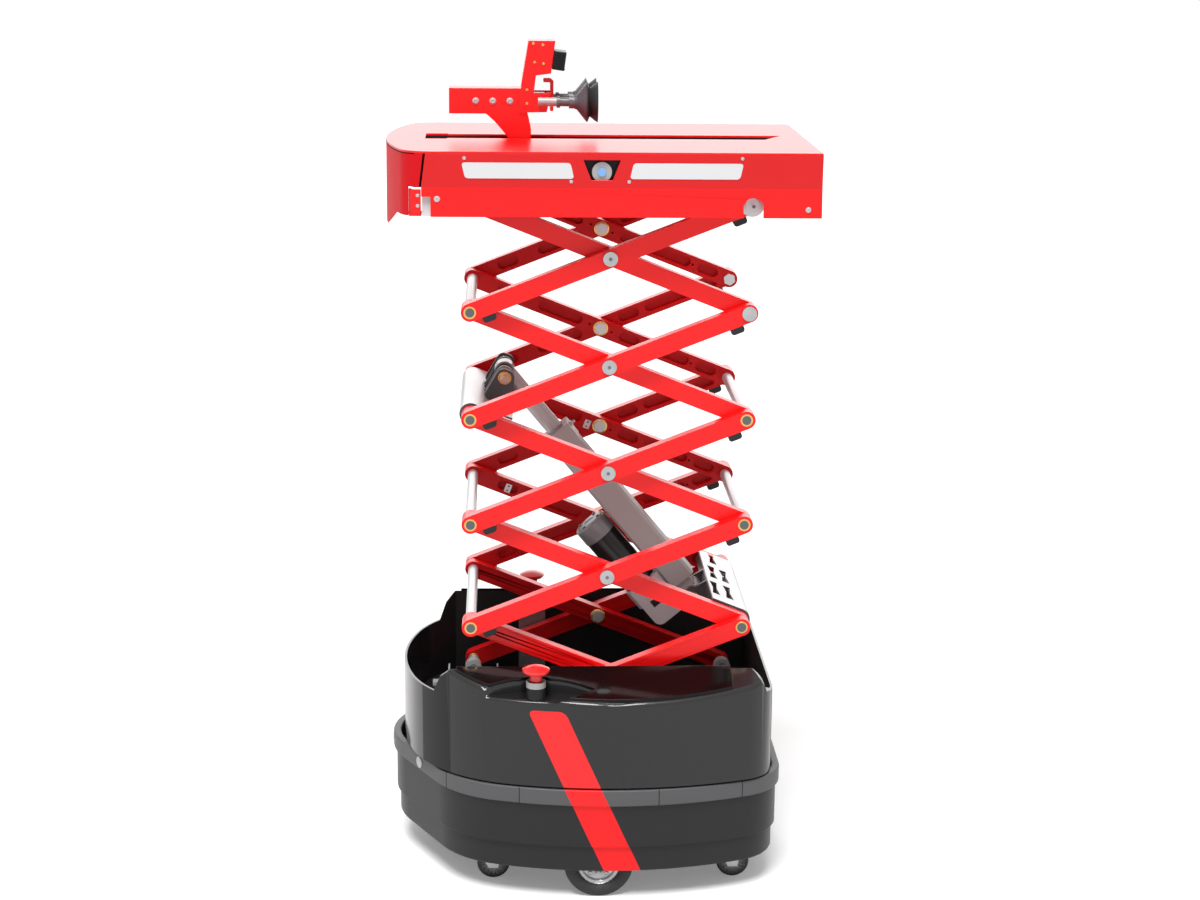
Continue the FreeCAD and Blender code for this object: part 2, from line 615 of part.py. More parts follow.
# ---------------------------------------------------------------- casters
def caster_fork(x, y):
    """Swivel head, crown and two cheeks around the wheel, with its axle."""
    radius, half = size("caster_radius"), size("caster_width") / 2 + 1
    top, trail = size("chassis_height") - size("side_gap"), size("caster_trail")
    crown = radius * 2 + 4
    head = Part.makeCylinder(17, top - crown - 3, vec(x, y, crown + 3))
    cheeks = []
    for side in (-1, 1):
        outline = [(x - 15, crown), (x + trail + 14, crown), (x + trail + 7, radius - 7), (x + trail - 7, radius - 7)]
        start = y + side * half
        cheeks.append(prism(outline, "y", start, start + side * 3))
    plate = block(x - 17, x + trail + 14, y - half - 3, y + half + 3, crown, crown + 3)
    axle = bar(4, vec(x + trail, y - half - 3, radius), vec(x + trail, y + half + 3, radius))
    return head.fuse([plate, axle] + cheeks).removeSplitter()


def caster_wheel(x, y):
    radius, half = size("caster_radius"), size("caster_width") / 2
    centre = x + size("caster_trail")
    wheel = bar(radius, vec(centre, y - half, radius), vec(centre, y + half, radius))
    wheel = wheel.makeFillet(3, [e for e in wheel.Edges if e.Closed])
    bore = bar(4 + size("running_fit"), vec(centre, y - half, radius), vec(centre, y + half, radius))
    return wheel.cut(bore)


CASTERS = {f"{end}_{word}": (size(f"caster_{end}_x") - size("caster_trail"), side * size("caster_y"))
           for end in ("front", "rear") for side, word in ((-1, "near"), (1, "far"))}
for place, (x, y) in CASTERS.items():
    node(f"caster_fork_{place}", solid(f"caster_fork_{place}_body", caster_fork(x, y)))
    node(f"caster_wheel_{place}", solid(f"caster_wheel_{place}_body", caster_wheel(x, y)))


# ---------------------------------------------------------------- lift carriers in the well
REST_X = size("hinge_x") - size("arm_pitch") * math.cos(math.radians(size("lift_angle")))


def pillow(x, y, base):
    """A bearing ring on a foot, for a shaft across the machine."""
    height, radius, half = size("hinge_height"), size("ring_radius"), size("ring_width") / 2
    ring_body = bar(radius, vec(x, y - half, height), vec(x, y + half, height))
    foot = block(x - radius, x + radius, y - half, y + half, base, height)
    return ring_body.fuse(foot)


def lift_mounts():
    """Fixed shaft in two pillow blocks at the tail, and the two rails of the sliding end."""
    x, y, floor = size("hinge_x"), size("rail_y"), size("floor_height")
    height, pin = size("hinge_height"), size("pin_radius")
    reach = size("inner_arm_face") + size("arm_thick")
    shaft_body = bar(pin, vec(x, -reach, height), vec(x, reach, height))
    half = size("foot_half")
    blocks = []
    for side in (-1, 1):
        plate = block(x - size("foot_before"), x + size("foot_after"), side * y - half, side * y + half,
                      floor, floor + size("slider_thick"))
        blocks += [pillow(x, side * y, floor), plate]
    rails = []
    for side in (-1, 1):
        half = size("rail_width") / 2
        rails.append(block(REST_X - size("rail_before"), REST_X + size("rail_after"), side * y - half,
                           side * y + half, floor, floor + size("rail_height")))
    return Part.makeCompound([shaft_body.fuse(blocks).removeSplitter()] + rails)


node("lift_mounts", solid("lift_mounts_set", lift_mounts()))


def lower_slider():
    """Two flanged saddles on the rails, joined by the shaft of the lift's sliding end."""
    y, base = size("rail_y"), size("floor_height") + size("rail_height") + size("side_gap")
    half, thick, flange = size("slider_half"), size("slider_thick"), size("flange_thick")
    reach = size("inner_arm_face") + 2 * size("arm_thick") + size("arm_gap") + size("pin_stand_out")
    height = size("hinge_height")
    pieces = [bar(size("pin_radius"), vec(REST_X, -reach, height), vec(REST_X, reach, height))]
    for side in (-1, 1):
        low, high = side * y - size("saddle_half"), side * y + size("saddle_half")
        pieces.append(block(REST_X - half, REST_X + half, low, high, base, base + thick))
        for end in (-half, half - flange):
            pieces.append(block(REST_X + end, REST_X + end + flange, low, high, base,
                                base + size("flange_height")))
        pieces.append(pillow(REST_X, side * y, base))
    return pieces[0].fuse(pieces[1:]).removeSplitter()


node("lower_slider", solid("lower_slider_body", lower_slider()))
STAGE_RISE = size("arm_pitch") * math.sin(math.radians(size("lift_angle")))
TOP_PIVOT = size("hinge_height") + size("stage_count") * STAGE_RISE
DECK_TOP = TOP_PIVOT + size("deck_rise")


def upper_rollers():
    """The shaft of the top sliding end with a roller at each side."""
    y, half = size("roller_y"), size("roller_width") / 2
    reach = y + half
    shaft_body = bar(size("pin_radius"), vec(REST_X, -reach, TOP_PIVOT), vec(REST_X, reach, TOP_PIVOT))
    wheels = [bar(size("roller_radius"), vec(REST_X, side * y - half, TOP_PIVOT),
                  vec(REST_X, side * y + half, TOP_PIVOT)) for side in (-1, 1)]
    return shaft_body.fuse(wheels)


node("upper_rollers", solid("upper_rollers_body", upper_rollers()))


# ---------------------------------------------------------------- deck
def deck_outline(inset, height):
    """A long plan with a flattened round nose and a square tail."""
    half, corner = size("deck_half_width") - inset, size("deck_corner_radius") - inset
    nose, tail = size("deck_nose_x") + inset, size("deck_tail_x") - inset
    radius = size("deck_nose_radius") - inset
    corner_y = half - corner
    lean = math.asin(corner_y / (radius - corner))
    centre = vec(nose + radius - (radius - corner) * math.cos(lean), corner_y, height)
    meet = centre + vec(-corner * math.cos(lean), corner * math.sin(lean), 0)
    turn = (math.pi / 2 + lean) / 2
    bulge = centre + vec(-corner * math.cos(turn), corner * math.sin(turn), 0)
    side = vec(centre.x, half, height)
    flip = [vec(p.x, -p.y, p.z) for p in (meet, bulge, side)]
    edges = [Part.Arc(flip[0], vec(nose, 0, height), meet).toShape(), Part.Arc(meet, bulge, side).toShape(),
             Part.makePolygon([side, vec(tail, half, height), vec(tail, -half, height), flip[2]]),
             Part.Arc(flip[2], flip[1], flip[0]).toShape()]
    return Part.Wire(edges)


def deck_slot():
    """The long slot that the gripper's neck runs in, wide at the nose and pointed at the tail."""
    start, end, half = size("slot_start_x"), size("slot_end_x"), size("slot_half_width")
    wide, wide_length = size("slot_wide_end"), size("slot_wide_length")
    near = [(start, -wide), (start + wide_length, -wide), (start + wide_length, -half), (end - half, -half),
            (end, half)]
    far = [(start + wide_length, half), (start + wide_length, wide), (start, wide)]
    return prism(near + far, "z", DECK_TOP - 50, DECK_TOP + 50)


def deck_plate():
    top = DECK_TOP
    return slab(deck_outline, 0, top - size("sheet"), top).cut(deck_slot())


node("deck_plate", solid("deck_plate_sheet", deck_plate()))
SHEET_TOP = DECK_TOP - size("sheet")
SKIRT_LOW = DECK_TOP - size("skirt_depth")


def side_skirt():
    """Near skirt: folded outwards below a bend line, with a camera window and two notches."""
    half, sheet_thick = size("deck_half_width"), size("sheet")
    low, bend, flare = SKIRT_LOW, (DECK_TOP - size("bend_depth")), size("deck_flare")
    start, end = size("skirt_start_x"), size("deck_tail_x")
    section = [(-half, SHEET_TOP), (-half, bend), (-half - flare, low), (-half - flare + sheet_thick, low),
               (-half + sheet_thick, bend), (-half + sheet_thick, SHEET_TOP)]
    skirt = prism(section, "x", start, end)
    lean, beyond = size("seam_lean"), size("skirt_depth")
    seam = prism([(start - lean, bend), (start, bend), (start + lean, SHEET_TOP + 1),
                  (start - lean, SHEET_TOP + 1)], "y", -half - beyond, 0)
    top_half, low_half = size("window_top_half"), size("window_bottom_half")
    high, deep = DECK_TOP - size("window_high"), DECK_TOP - size("window_low")
    window = prism([(-low_half, deep), (low_half, deep), (top_half, high), (-top_half, high)],
                   "y", -half - beyond, 0)
    x, radius = size("hinge_x"), size("arm_width") / 2 + 1
    middle = x - 2
    notch = block(middle - radius, middle + radius, -half - beyond, 0, low - 1, TOP_PIVOT).fuse(
        bar(radius, vec(middle, -half - beyond, TOP_PIVOT), vec(middle, 0, TOP_PIVOT)))
    step = block(start - 1, start + size("notch_length"), -half - beyond, 0, low - 1,
                 low + size("notch_height"))
    return skirt.cut([seam, window, notch, step])


def deck_skirts():
    near = side_skirt()
    half, low = size("deck_half_width") - size("sheet"), SKIRT_LOW
    tail = block(size("deck_tail_x") - size("sheet"), size("deck_tail_x"), -half, half, low + 6, SHEET_TOP)
    return Part.makeCompound([near, near.mirror(vec(0, 0, 0), vec(0, 1, 0)), tail])


node("deck_skirts", solid("deck_skirts_set", deck_skirts()))


def nose_bracket():
    """Near side: the bent bracket under the wrap's end, which carries a pad below."""
    half, end, wall = size("deck_half_width"), size("skirt_start_x"), size("sheet")
    low, high = SKIRT_LOW + wall, DECK_TOP - size("bend_depth") - wall
    start, edge = end - size("bracket_length") + size("side_gap"), end - 0.5
    plan = [(edge, -half + 1), (start + wall, -half + wall), (start, -half + 11), (start, -half + 15),
            (start + wall, -half + 15), (start + 2 * wall, -half + 1 + wall), (edge, -half + 1 + wall)]
    foot = block(start, edge, -half + 2 * wall, -half + 20, low, low + wall)
    rib = block(edge - 6, edge, -half + 1, -half + 3 * wall, low, low + wall)
    pad = block(start, edge, -half + 14, -half + 42, low - size("pad_height"), low)
    return prism(plan, "z", low, high).fuse([foot, rib, pad]).removeSplitter()


def nose_wrap():
    """The curved skirt round the nose, deeper towards its tip, parted from the side skirts."""
    nose, bottom = size("deck_nose_x"), SKIRT_LOW
    low = bottom - size("nose_drop")
    wrap = ring(deck_outline, 0, size("sheet"), low, SHEET_TOP)
    end, bend = size("skirt_start_x") - size("nose_seam"), DECK_TOP - size("bend_depth")
    bracket = size("skirt_start_x") - size("bracket_length")
    beyond = nose - size("nose_drop")
    keep = prism([(beyond, low - 1), (bracket, low - 1), (bracket, bend), (end, bend),
                  (end + size("seam_lean"), SHEET_TOP + 1), (beyond, SHEET_TOP + 1)], "y",
                 -size("deck_half_width") - 1, size("deck_half_width") + 1)
    trim = prism([(nose + 22, bottom), (0, bottom), (0, low - 1), (nose + 4, low - 1)], "y",
                 -size("deck_half_width") - 1, size("deck_half_width") + 1)
    near = nose_bracket()
    far = near.mirror(vec(0, 0, 0), vec(0, 1, 0))
    return Part.makeCompound([wrap.common(keep).cut(trim), near, far])


node("nose_wrap", solid("nose_wrap_sheet", nose_wrap()))


def side_camera():
    """Near camera: a housing behind the window, a lens ring and the lens."""
    face = -size("deck_half_width") + size("sheet")
    z = ((DECK_TOP - size("window_high")) + (DECK_TOP - size("window_low"))) / 2 - 3
    housing = block(-38, 38, face + 12, face + 34, (DECK_TOP - size("window_low")) - 6, SHEET_TOP)
    barrel = bar(size("sensor_radius"), vec(0, face + 12, z), vec(0, face + 2, z))
    glass = bar(size("lens_radius"), vec(0, face + 4, z), vec(0, face, z))
    return housing.fuse([barrel, glass])


NEAR_CAMERA = side_camera()
FAR_CAMERA = NEAR_CAMERA.mirror(vec(0, 0, 0), vec(0, 1, 0))
node("side_cameras", solid("side_cameras_pair", Part.makeCompound([NEAR_CAMERA, FAR_CAMERA])))


def deck_brackets():
    """Under the deck: two hinge lugs, two roller channels and the guide of the gripper."""
    x, skin = size("hinge_x"), size("inner_arm_face") + 2 * size("arm_thick") + size("arm_gap")
    lug_half, lug_y = size("lug_half"), skin + size("pin_stand_out") + size("side_gap")
    pieces = []
    for side in (-1, 1):
        first, second = side * lug_y, side * (lug_y + size("lug_thick"))
        plate = block(x - lug_half, x + lug_half, min(first, second), max(first, second), TOP_PIVOT,
                      SHEET_TOP)
        plate = plate.fuse(bar(lug_half, vec(x, first, TOP_PIVOT), vec(x, second, TOP_PIVOT)))
        inner = side * (skin - size("arm_thick") - 1)
        pin = bar(size("pin_radius"), vec(x, inner, TOP_PIVOT), vec(x, second, TOP_PIVOT))
        head = bar(size("bolt_head_radius"), vec(x, second, TOP_PIVOT),
                   vec(x, second + side * size("bolt_head_thick"), TOP_PIVOT))
        pieces.append(plate.fuse([pin, head]))
    web, depth, wall = size("channel_web_y"), size("channel_depth"), size("sheet")
    lip = size("roller_radius") + size("roller_gap")
    start, end = REST_X - size("channel_before"), REST_X + size("channel_after")
    for side in (-1, 1):
        outer, inner, flange = side * (web + wall), side * web, side * (web - depth)
        section = [(outer, SHEET_TOP), (outer, TOP_PIVOT - lip - wall), (flange, TOP_PIVOT - lip - wall),
                   (flange, TOP_PIVOT - lip), (inner, TOP_PIVOT - lip), (inner, TOP_PIVOT + lip),
                   (flange, TOP_PIVOT + lip), (flange, TOP_PIVOT + lip + wall), (inner, TOP_PIVOT + lip + wall),
                   (inner, SHEET_TOP)]
        pieces.append(prism(section, "x", start, end))
    guide = size("slot_wide_end")
    for side in (-1, 1):
        low = min(side * guide, side * (guide + size("guide_thick")))
        pieces.append(block(size("slot_start_x"), size("slot_end_x"), low, low + size("guide_thick"),
                            SHEET_TOP - size("guide_depth"), SHEET_TOP))
    return Part.makeCompound(pieces)


node("deck_brackets", solid("deck_brackets_set", deck_brackets()))


# ---------------------------------------------------------------- gripper carriage
def carriage_channel():
    """A folded channel whose two cheeks narrow into a neck through the deck's slot."""
    start, end, half = size("carriage_start_x"), size("carriage_end_x"), size("carriage_half")
    low, high, wall = (DECK_TOP + size("carriage_low")), (DECK_TOP + size("carriage_high")), size("sheet")
    neck_start, neck_end, foot = size("neck_start_x"), size("neck_end_x"), SHEET_TOP - 8
    deck = DECK_TOP

    def point(x, z):
        return vec(x, -half, z)
    edges = [Part.makePolygon([point(neck_start, deck), point(neck_start, foot), point(neck_end, foot),
                               point(neck_end, deck + 12)]),
             Part.Arc(point(neck_end, deck + 12), point(neck_end - 3, deck + 26), point(end, low + 2)).toShape(),
             Part.makePolygon([point(end, low + 2), point(end, high), point(start, high), point(start, low),
                               point(neck_start - 32, low)]),
             Part.Arc(point(neck_start - 32, low), point(neck_start - 16, deck + 20), point(neck_start, deck)).toShape()]
    cheek = Part.Face(Part.Wire(edges)).extrude(vec(0, wall, 0))
    far = cheek.mirror(vec(0, 0, 0), vec(0, 1, 0))
    roof = block(start, end, -half + wall, half - wall, high - wall, high)
    slide = size("slide_block_length") / 2
    middle, wide = (neck_start + neck_end) / 2, size("slot_wide_end") - size("side_gap")
    shoe = block(middle - slide, middle + slide, -wide, wide, SHEET_TOP - 20, SHEET_TOP - 8)
    return cheek.fuse([far, roof, shoe]).removeSplitter()


node("carriage_channel", solid("carriage_channel_body", carriage_channel()))


def high_point(top):
    """Where the mast's back plate stops, clear of the channel's roof."""
    return top - 60


def camera_mast():
    """The upright bracket of the head camera, two stepped cheeks and a back plate."""
    half, wall, top = size("carriage_half"), size("sheet"), (DECK_TOP + size("mast_top"))
    low, end = (DECK_TOP + size("carriage_low")), size("carriage_end_x")
    outline = [(end - 12, low + 2), (end - 9, low + 35), (end + 2, top), (end + 41, top), (end + 35, top - 47),
               (end + 13, top - 50), (end + 10, top - 75), (end + 35, top - 75), (end + 29, low + 3)]
    cheeks = [prism(outline, "y", side * half, side * (half + wall)) for side in (-1, 1)]
    back = prism([(end + 2, top), (end + 2 - 10, high_point(top)), (end - 7, high_point(top)), (end + 5, top)],
                 "y", -half, half)
    cap = block(end + 2, end + 41, -half, half, top - wall, top)
    return cheeks[0].fuse([cheeks[1], back, cap]).removeSplitter()


node("camera_mast", solid("camera_mast_body", camera_mast()))


def head_camera():
    """A finned camera box, tipped down at the load."""
    width, top, end = size("head_camera_width"), (DECK_TOP + size("mast_top")), size("carriage_end_x")
    shape = block(0, 18, -width / 2, width / 2, -27, 0)
    shape.rotate(vec(0, 0, 0), vec(0, 1, 0), size("head_camera_tilt"))
    shape.translate(vec(end + 39.9, 0, top - 14))
    return shape


node("head_camera", solid("head_camera_body", head_camera()))


def suction_pipes():
    """A vacuum manifold between the mast's cheeks and two stepped pipes outside them."""
    end, axis, radius = size("carriage_end_x"), (DECK_TOP + size("cup_axis")), size("pipe_radius")
    inside, outside = size("carriage_half"), size("carriage_half") + size("sheet")
    start, front = end + 18, end + 35
    pieces = [block(end + 2, end + 26, -inside, inside, axis - 10, axis + 10)]
    for side in (-1, 1):
        y = side * size("cup_y")
        boss = block(start, start + 12, min(side * outside, y), max(side * outside, y), axis - 5, axis + 5)
        pipe = bar(radius, vec(start - 2, y, axis), vec(front + 34, y, axis))
        collars = [bar(radius + 2, vec(front + 8, y, axis), vec(front + 13, y, axis)),
                   bar(radius + 3, vec(front + 26, y, axis), vec(front + 34, y, axis))]
        pieces.append(pipe.fuse([boss] + collars).removeSplitter())
    return Part.makeCompound(pieces)


node("suction_pipes", solid("suction_pipes_body", suction_pipes()))


def suction_cup(side):
    """A bellows cup: a narrow neck, one fold and a flared, hollow lip."""
    back, lip, radius = size("carriage_end_x") + 35 + 34, size("cup_lip_x"), size("cup_radius")
    length = lip - back
    outer = [(0, 10), (0.1 * length, 11), (0.55 * length, radius), (0.66 * length, radius - 9), (length, radius)]
    inner = [(length, radius - 2), (0.66 * length, radius - 12), (0.5 * length, 8), (0.5 * length, 0)]
    profile = [vec(x, 0, r) for x, r in outer + inner] + [vec(0, 0, 0), vec(0, 0, 10)]
    shape = Part.Face(Part.makePolygon(profile)).revolve(vec(0, 0, 0), vec(1, 0, 0), 360)
    shape.translate(vec(back, side * size("cup_y"), (DECK_TOP + size("cup_axis"))))
    return shape


node("suction_cups", solid("suction_cups_pair", Part.makeCompound([suction_cup(-1), suction_cup(1)])))


# ---------------------------------------------------------------- actuator
def in_arm_frame(name, shape, stage):
    """A piece drawn in the frame of a stage's inner arms."""
    return tilt(solid(name, shape), stage, 1)


LOW_PIN = (size("low_pin_along"), size("low_pin_off"))
HIGH_PIN = (size("high_pin_along"), size("high_pin_off"))
ARM_TOP = size("arm_width") / 2


def clevis_ears(pin, base, foot, ys, thick, split):
    """Triangular ears with round heads at the given distances, and their pin."""
    x, z = pin
    head = 13.0
    ears = []
    for y in ys:
        for side in (-1, 1):
            near = side * y
            far = side * (y + thick)
            outline = [(foot[0], base), (foot[1], base), (x + head, z), (x - head, z)]
            ear = prism(outline, "y", near, far)
            ears.append(ear.fuse(bar(head, vec(x, near, z), vec(x, far, z))))
    pins = []
    reach = ys[-1] + thick + 6
    for side in (-1, 1):
        start = side * ys[0] if split else 0
        pins.append(bar(size("clevis_pin_radius"), vec(x, start, z), vec(x, side * reach, z)))
    return ears + pins


def curled_plate(end, start, direction):
    """A plate on the arms' upper edges that curls round their end pivot."""
    inner, thick, half = ARM_TOP + size("side_gap"), size("plate_thick"), size("plate_half_width")
    outer = inner + thick
    flat = block(min(start, end), max(start, end), -half, half, inner, outer)
    hollow = bar(inner, vec(end, -half, 0), vec(end, half, 0))
    ring_body = bar(outer, vec(end, -half, 0), vec(end, half, 0)).cut(hollow)
    away = end + direction * 2 * outer
    outside = block(min(end, away), max(end, away), -half, half, -outer, outer)
    return flat.fuse(ring_body.common(outside))


def upper_bracket():
    """Plate curled round the left pivot of stage three, with four ears for the rod's end."""
    end = -size("arm_pitch") / 2
    plate = curled_plate(end, end + 60, -1)
    saddle = bar(size("ring_radius"), vec(end, -60, 0), vec(end, 60, 0)).cut(
        bar(size("tube_radius"), vec(end, -60, 0), vec(end, 60, 0)))
    rib = block(end - 4, end + 4, -60, 60, size("tube_radius"), ARM_TOP + size("side_gap") + 1)
    base = ARM_TOP + size("side_gap") + size("plate_thick")
    ears = clevis_ears(HIGH_PIN, base, (end + 14, end + 60), (size("ear_inner"), size("ear_outer")),
                       size("ear_thick"), True)
    return plate.fuse([saddle, rib] + ears).removeSplitter()


node("upper_bracket", in_arm_frame("upper_bracket_body", upper_bracket(), 3))


CUT_OUTS = ((40, -70), (36, 20), (29, 108), (18, -70), (16, 20))


def bow_tie(x, y):
    """The tool for one waisted cut-out of the lower plate, its waist at the given place."""
    length, half, waist = size("cut_out_length") / 2, size("cut_out_half"), size("cut_out_half") / 2
    outline = [(x - half, y - length), (x + half, y - length), (x + waist, y), (x + half, y + length),
               (x - half, y + length), (x - waist, y)]
    return prism(outline, "z", 0, 2 * ARM_TOP)


def lower_bracket():
    """Plate curled round the right pivot of stage two, its ears hanging to the housing's pin."""
    end = size("arm_pitch") / 2
    plate = curled_plate(end, end - 49, 1)
    for along, across in CUT_OUTS:
        plate = plate.cut(bow_tie(end - along, across))
    lip_half = size("plate_half_width") - 8
    lip = block(end - 49, end - 46, -lip_half, lip_half, 2, ARM_TOP + 1)
    saddle = bar(size("ring_radius"), vec(end, -60, 0), vec(end, 60, 0)).cut(
        bar(size("tube_radius"), vec(end, -60, 0), vec(end, 60, 0)))
    rib = block(end - 4, end + 4, -60, 60, size("tube_radius"), ARM_TOP + size("side_gap") + 1)
    x, z = LOW_PIN
    top = ARM_TOP + size("side_gap")
    ears = []
    for side in (-1, 1):
        first, second = side * 27, side * 33
        plate_ear = prism([(x - 14, z), (x + 14, z), (x + 44, top), (x + 9, top)], "y", first, second)
        ears.append(plate_ear.fuse(bar(14, vec(x, first, z), vec(x, second, z))))
    pin = bar(size("clevis_pin_radius"), vec(x, -38, z), vec(x, 38, z))
    return plate.fuse([lip, saddle, rib, pin] + ears).removeSplitter()


node("lower_bracket", in_arm_frame("lower_bracket_body", lower_bracket(), 2))


def arm_point(stage, along, off):
    """A point of a stage's inner-arm frame, in the machine's frame."""
    lean = math.radians(size("lift_angle"))
    x = size("hinge_x") - size("arm_pitch") / 2 * math.cos(lean)
    z = size("hinge_height") + (stage - 0.5) * size("arm_pitch") * math.sin(lean)
    return vec(x + along * math.cos(lean) + off * math.sin(lean), 0,
               z - along * math.sin(lean) + off * math.cos(lean))


LOW_POINT = arm_point(2, *LOW_PIN)
HIGH_POINT = arm_point(3, *HIGH_PIN)
STROKE_LINE = HIGH_POINT - LOW_POINT
LEAN = math.degrees(math.atan2(STROKE_LINE.z, STROKE_LINE.x))


def along_actuator(name, shape):
    """Lay a piece drawn along +X, from the lower pin, on the actuator's line."""
    thing = solid(name, shape)
    thing.Placement = FreeCAD.Placement(LOW_POINT, FreeCAD.Rotation(vec(0, 1, 0), -LEAN))
    return thing


def cylinder_body():
    """The rectangular tube, its clevis eye and the head that the rod comes out of."""
    start, reach = size("cylinder_start"), size("cylinder_reach")
    half, wide = size("cylinder_half"), size("cylinder_half_width")
    tube = block(start, reach - 10, -wide, wide, -half, half)
    tube = tube.makeChamfer(4, [e for e in tube.Edges if abs(e.tangentAt(0).x) > 0.9])
    head = block(reach - 10, reach, -wide - 1, wide + 1, -half - 1, half + 1)
    fork = bar(15, vec(0, -26, 0), vec(0, 26, 0)).fuse(block(0, start, -20, 20, -12, 12))
    bore = bar(size("rod_radius") + size("running_fit"), vec(size("bore_start"), 0, 0), vec(reach, 0, 0))
    eye = bar(size("clevis_pin_radius") + size("running_fit"), vec(0, -40, 0), vec(0, 40, 0))
    return tube.fuse([head, fork]).cut([bore, eye]).removeSplitter()


node("actuator_tube", along_actuator("actuator_tube_body", cylinder_body()))


def actuator_gearbox():
    """The housing that carries the drive from the motor across to the tube, with a square port."""
    start, offset = size("cylinder_start") + 4, size("motor_offset") + 3
    end, half, wide = start + size("gearbox_length"), size("cylinder_half"), size("gearbox_half_width")
    low, back, turn = size("gearbox_depth"), -size("gearbox_back"), size("gearbox_corner")
    radius = size("motor_body_radius") + 3
    case = block(back, end, -wide, wide, half + 0.3, low)
    case = case.makeFillet(turn, [e for e in case.Edges if abs(e.tangentAt(0).y) > 0.9
                                  and e.CenterOfMass.x < 0])
    flange = bar(radius, vec(start, 0, offset), vec(end, 0, offset))
    room = block(back - 1, end + 1, -2 * wide, 2 * wide, -half, half + 0.3)
    neck = block(start, end, -wide, wide, half, half + 1)
    port, middle = size("port_half"), (back + end) / 2
    ports = [block(middle - port, middle + port, side * wide - 4, side * wide + 4, offset - port,
                   offset + port) for side in (-1, 1)]
    return case.fuse(flange).cut([room] + ports).fuse(neck).removeSplitter()


node("actuator_gearbox", along_actuator("actuator_gearbox_body", actuator_gearbox()))


def actuator_motor():
    """A round motor beside the tube, with its end cap."""
    start = size("cylinder_start") + 4 + size("gearbox_length")
    end, offset, radius = size("motor_end"), size("motor_offset") + 3, size("motor_body_radius")
    body = bar(radius, vec(start, 0, offset), vec(end - 24, 0, offset))
    cap = bar(radius + 1, vec(end - 24, 0, offset), vec(end, 0, offset))
    return body.fuse(cap)


node("actuator_motor", along_actuator("actuator_motor_body", actuator_motor()))


def actuator_rod():
    """The round rod with the eye that sits between the upper ears."""
    reach = STROKE_LINE.Length
    shank = bar(size("rod_radius"), vec(size("rod_start"), 0, 0), vec(reach - 6, 0, 0))
    eye = bar(15, vec(reach, -13.5, 0), vec(reach, 13.5, 0))
    hole = bar(size("clevis_pin_radius") + 0.3, vec(reach, -20, 0), vec(reach, 20, 0))
    return shank.fuse(eye).cut(hole)


node("actuator_rod", along_actuator("actuator_rod_body", actuator_rod()))

# ---------------------------------------------------------------- check and write
doc.recompute()
for thing in doc.Objects:
    if "Invalid" in thing.State or "Error" in thing.State:
        raise RuntimeError(f"{thing.Label} failed: {thing.State}")
for name, thing in NODES.items():
    shape = thing.Shape
    if shape.isNull() or not shape.isValid() or not shape.Solids:
        raise RuntimeError(f"{name} is not a valid solid")
for name, thing in NODES.items():
    thing.Shape.exportStep(f"parts/{name}.step")
print(len(NODES), "sub-parts written")
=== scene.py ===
import json
import math

import bmesh
import bpy
from mathutils import Matrix, Vector
from mathutils.geometry import tessellate_polygon


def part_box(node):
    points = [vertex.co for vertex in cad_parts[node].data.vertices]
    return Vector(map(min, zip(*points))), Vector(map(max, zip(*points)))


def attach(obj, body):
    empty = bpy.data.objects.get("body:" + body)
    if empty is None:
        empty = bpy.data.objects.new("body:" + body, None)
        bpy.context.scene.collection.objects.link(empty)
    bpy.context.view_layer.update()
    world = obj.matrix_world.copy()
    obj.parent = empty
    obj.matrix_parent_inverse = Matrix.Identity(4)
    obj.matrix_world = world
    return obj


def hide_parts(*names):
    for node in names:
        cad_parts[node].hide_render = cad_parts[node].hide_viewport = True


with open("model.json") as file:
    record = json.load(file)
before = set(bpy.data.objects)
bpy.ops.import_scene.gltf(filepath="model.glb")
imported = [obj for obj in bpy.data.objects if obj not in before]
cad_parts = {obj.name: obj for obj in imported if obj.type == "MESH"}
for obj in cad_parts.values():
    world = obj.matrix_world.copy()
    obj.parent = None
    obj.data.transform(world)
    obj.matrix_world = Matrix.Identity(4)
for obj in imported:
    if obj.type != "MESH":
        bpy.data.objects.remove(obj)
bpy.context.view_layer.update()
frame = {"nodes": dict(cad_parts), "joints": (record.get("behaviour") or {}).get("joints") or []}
nodes = frame["nodes"]
joints = {joint["name"]: joint for joint in frame["joints"]}

# ---------------------------------------------------------------- studio
# A plain pale floor under a white sky, one broad lamp high on the near side, and the camera
# in front of the near side, a little above the deck.
FLOOR_SIZE, FLOOR_GLOW = 24.0, 0.2
EYE = Vector((-0.1381, -3.5007, 1.4451))
YAW, PITCH, ROLL = math.radians(2.4225), math.radians(-13.2514), math.radians(0.5752)
LENS = 70.77

scene = bpy.context.scene
scene.view_settings.view_transform = "Standard"


def link(thing):
    scene.collection.objects.link(thing)
    return thing


def look(yaw, pitch, roll):
    """Turn of a camera that looks along +Y, then is turned to the right, up and about its line."""
    ahead = Vector((math.sin(yaw) * math.cos(pitch), math.cos(yaw) * math.cos(pitch), math.sin(pitch)))
    right = Vector((math.cos(yaw), -math.sin(yaw), 0))
    over = right.cross(ahead)
    side = right * math.cos(roll) + over * math.sin(roll)
    top = over * math.cos(roll) - right * math.sin(roll)
    return Matrix((side, top, -ahead)).transposed().to_4x4()


camera = link(bpy.data.objects.new("camera", bpy.data.cameras.new("camera")))
camera.data.lens = LENS
camera.data.sensor_width = 36
camera.matrix_world = Matrix.Translation(EYE) @ look(YAW, PITCH, ROLL)
scene.camera = camera

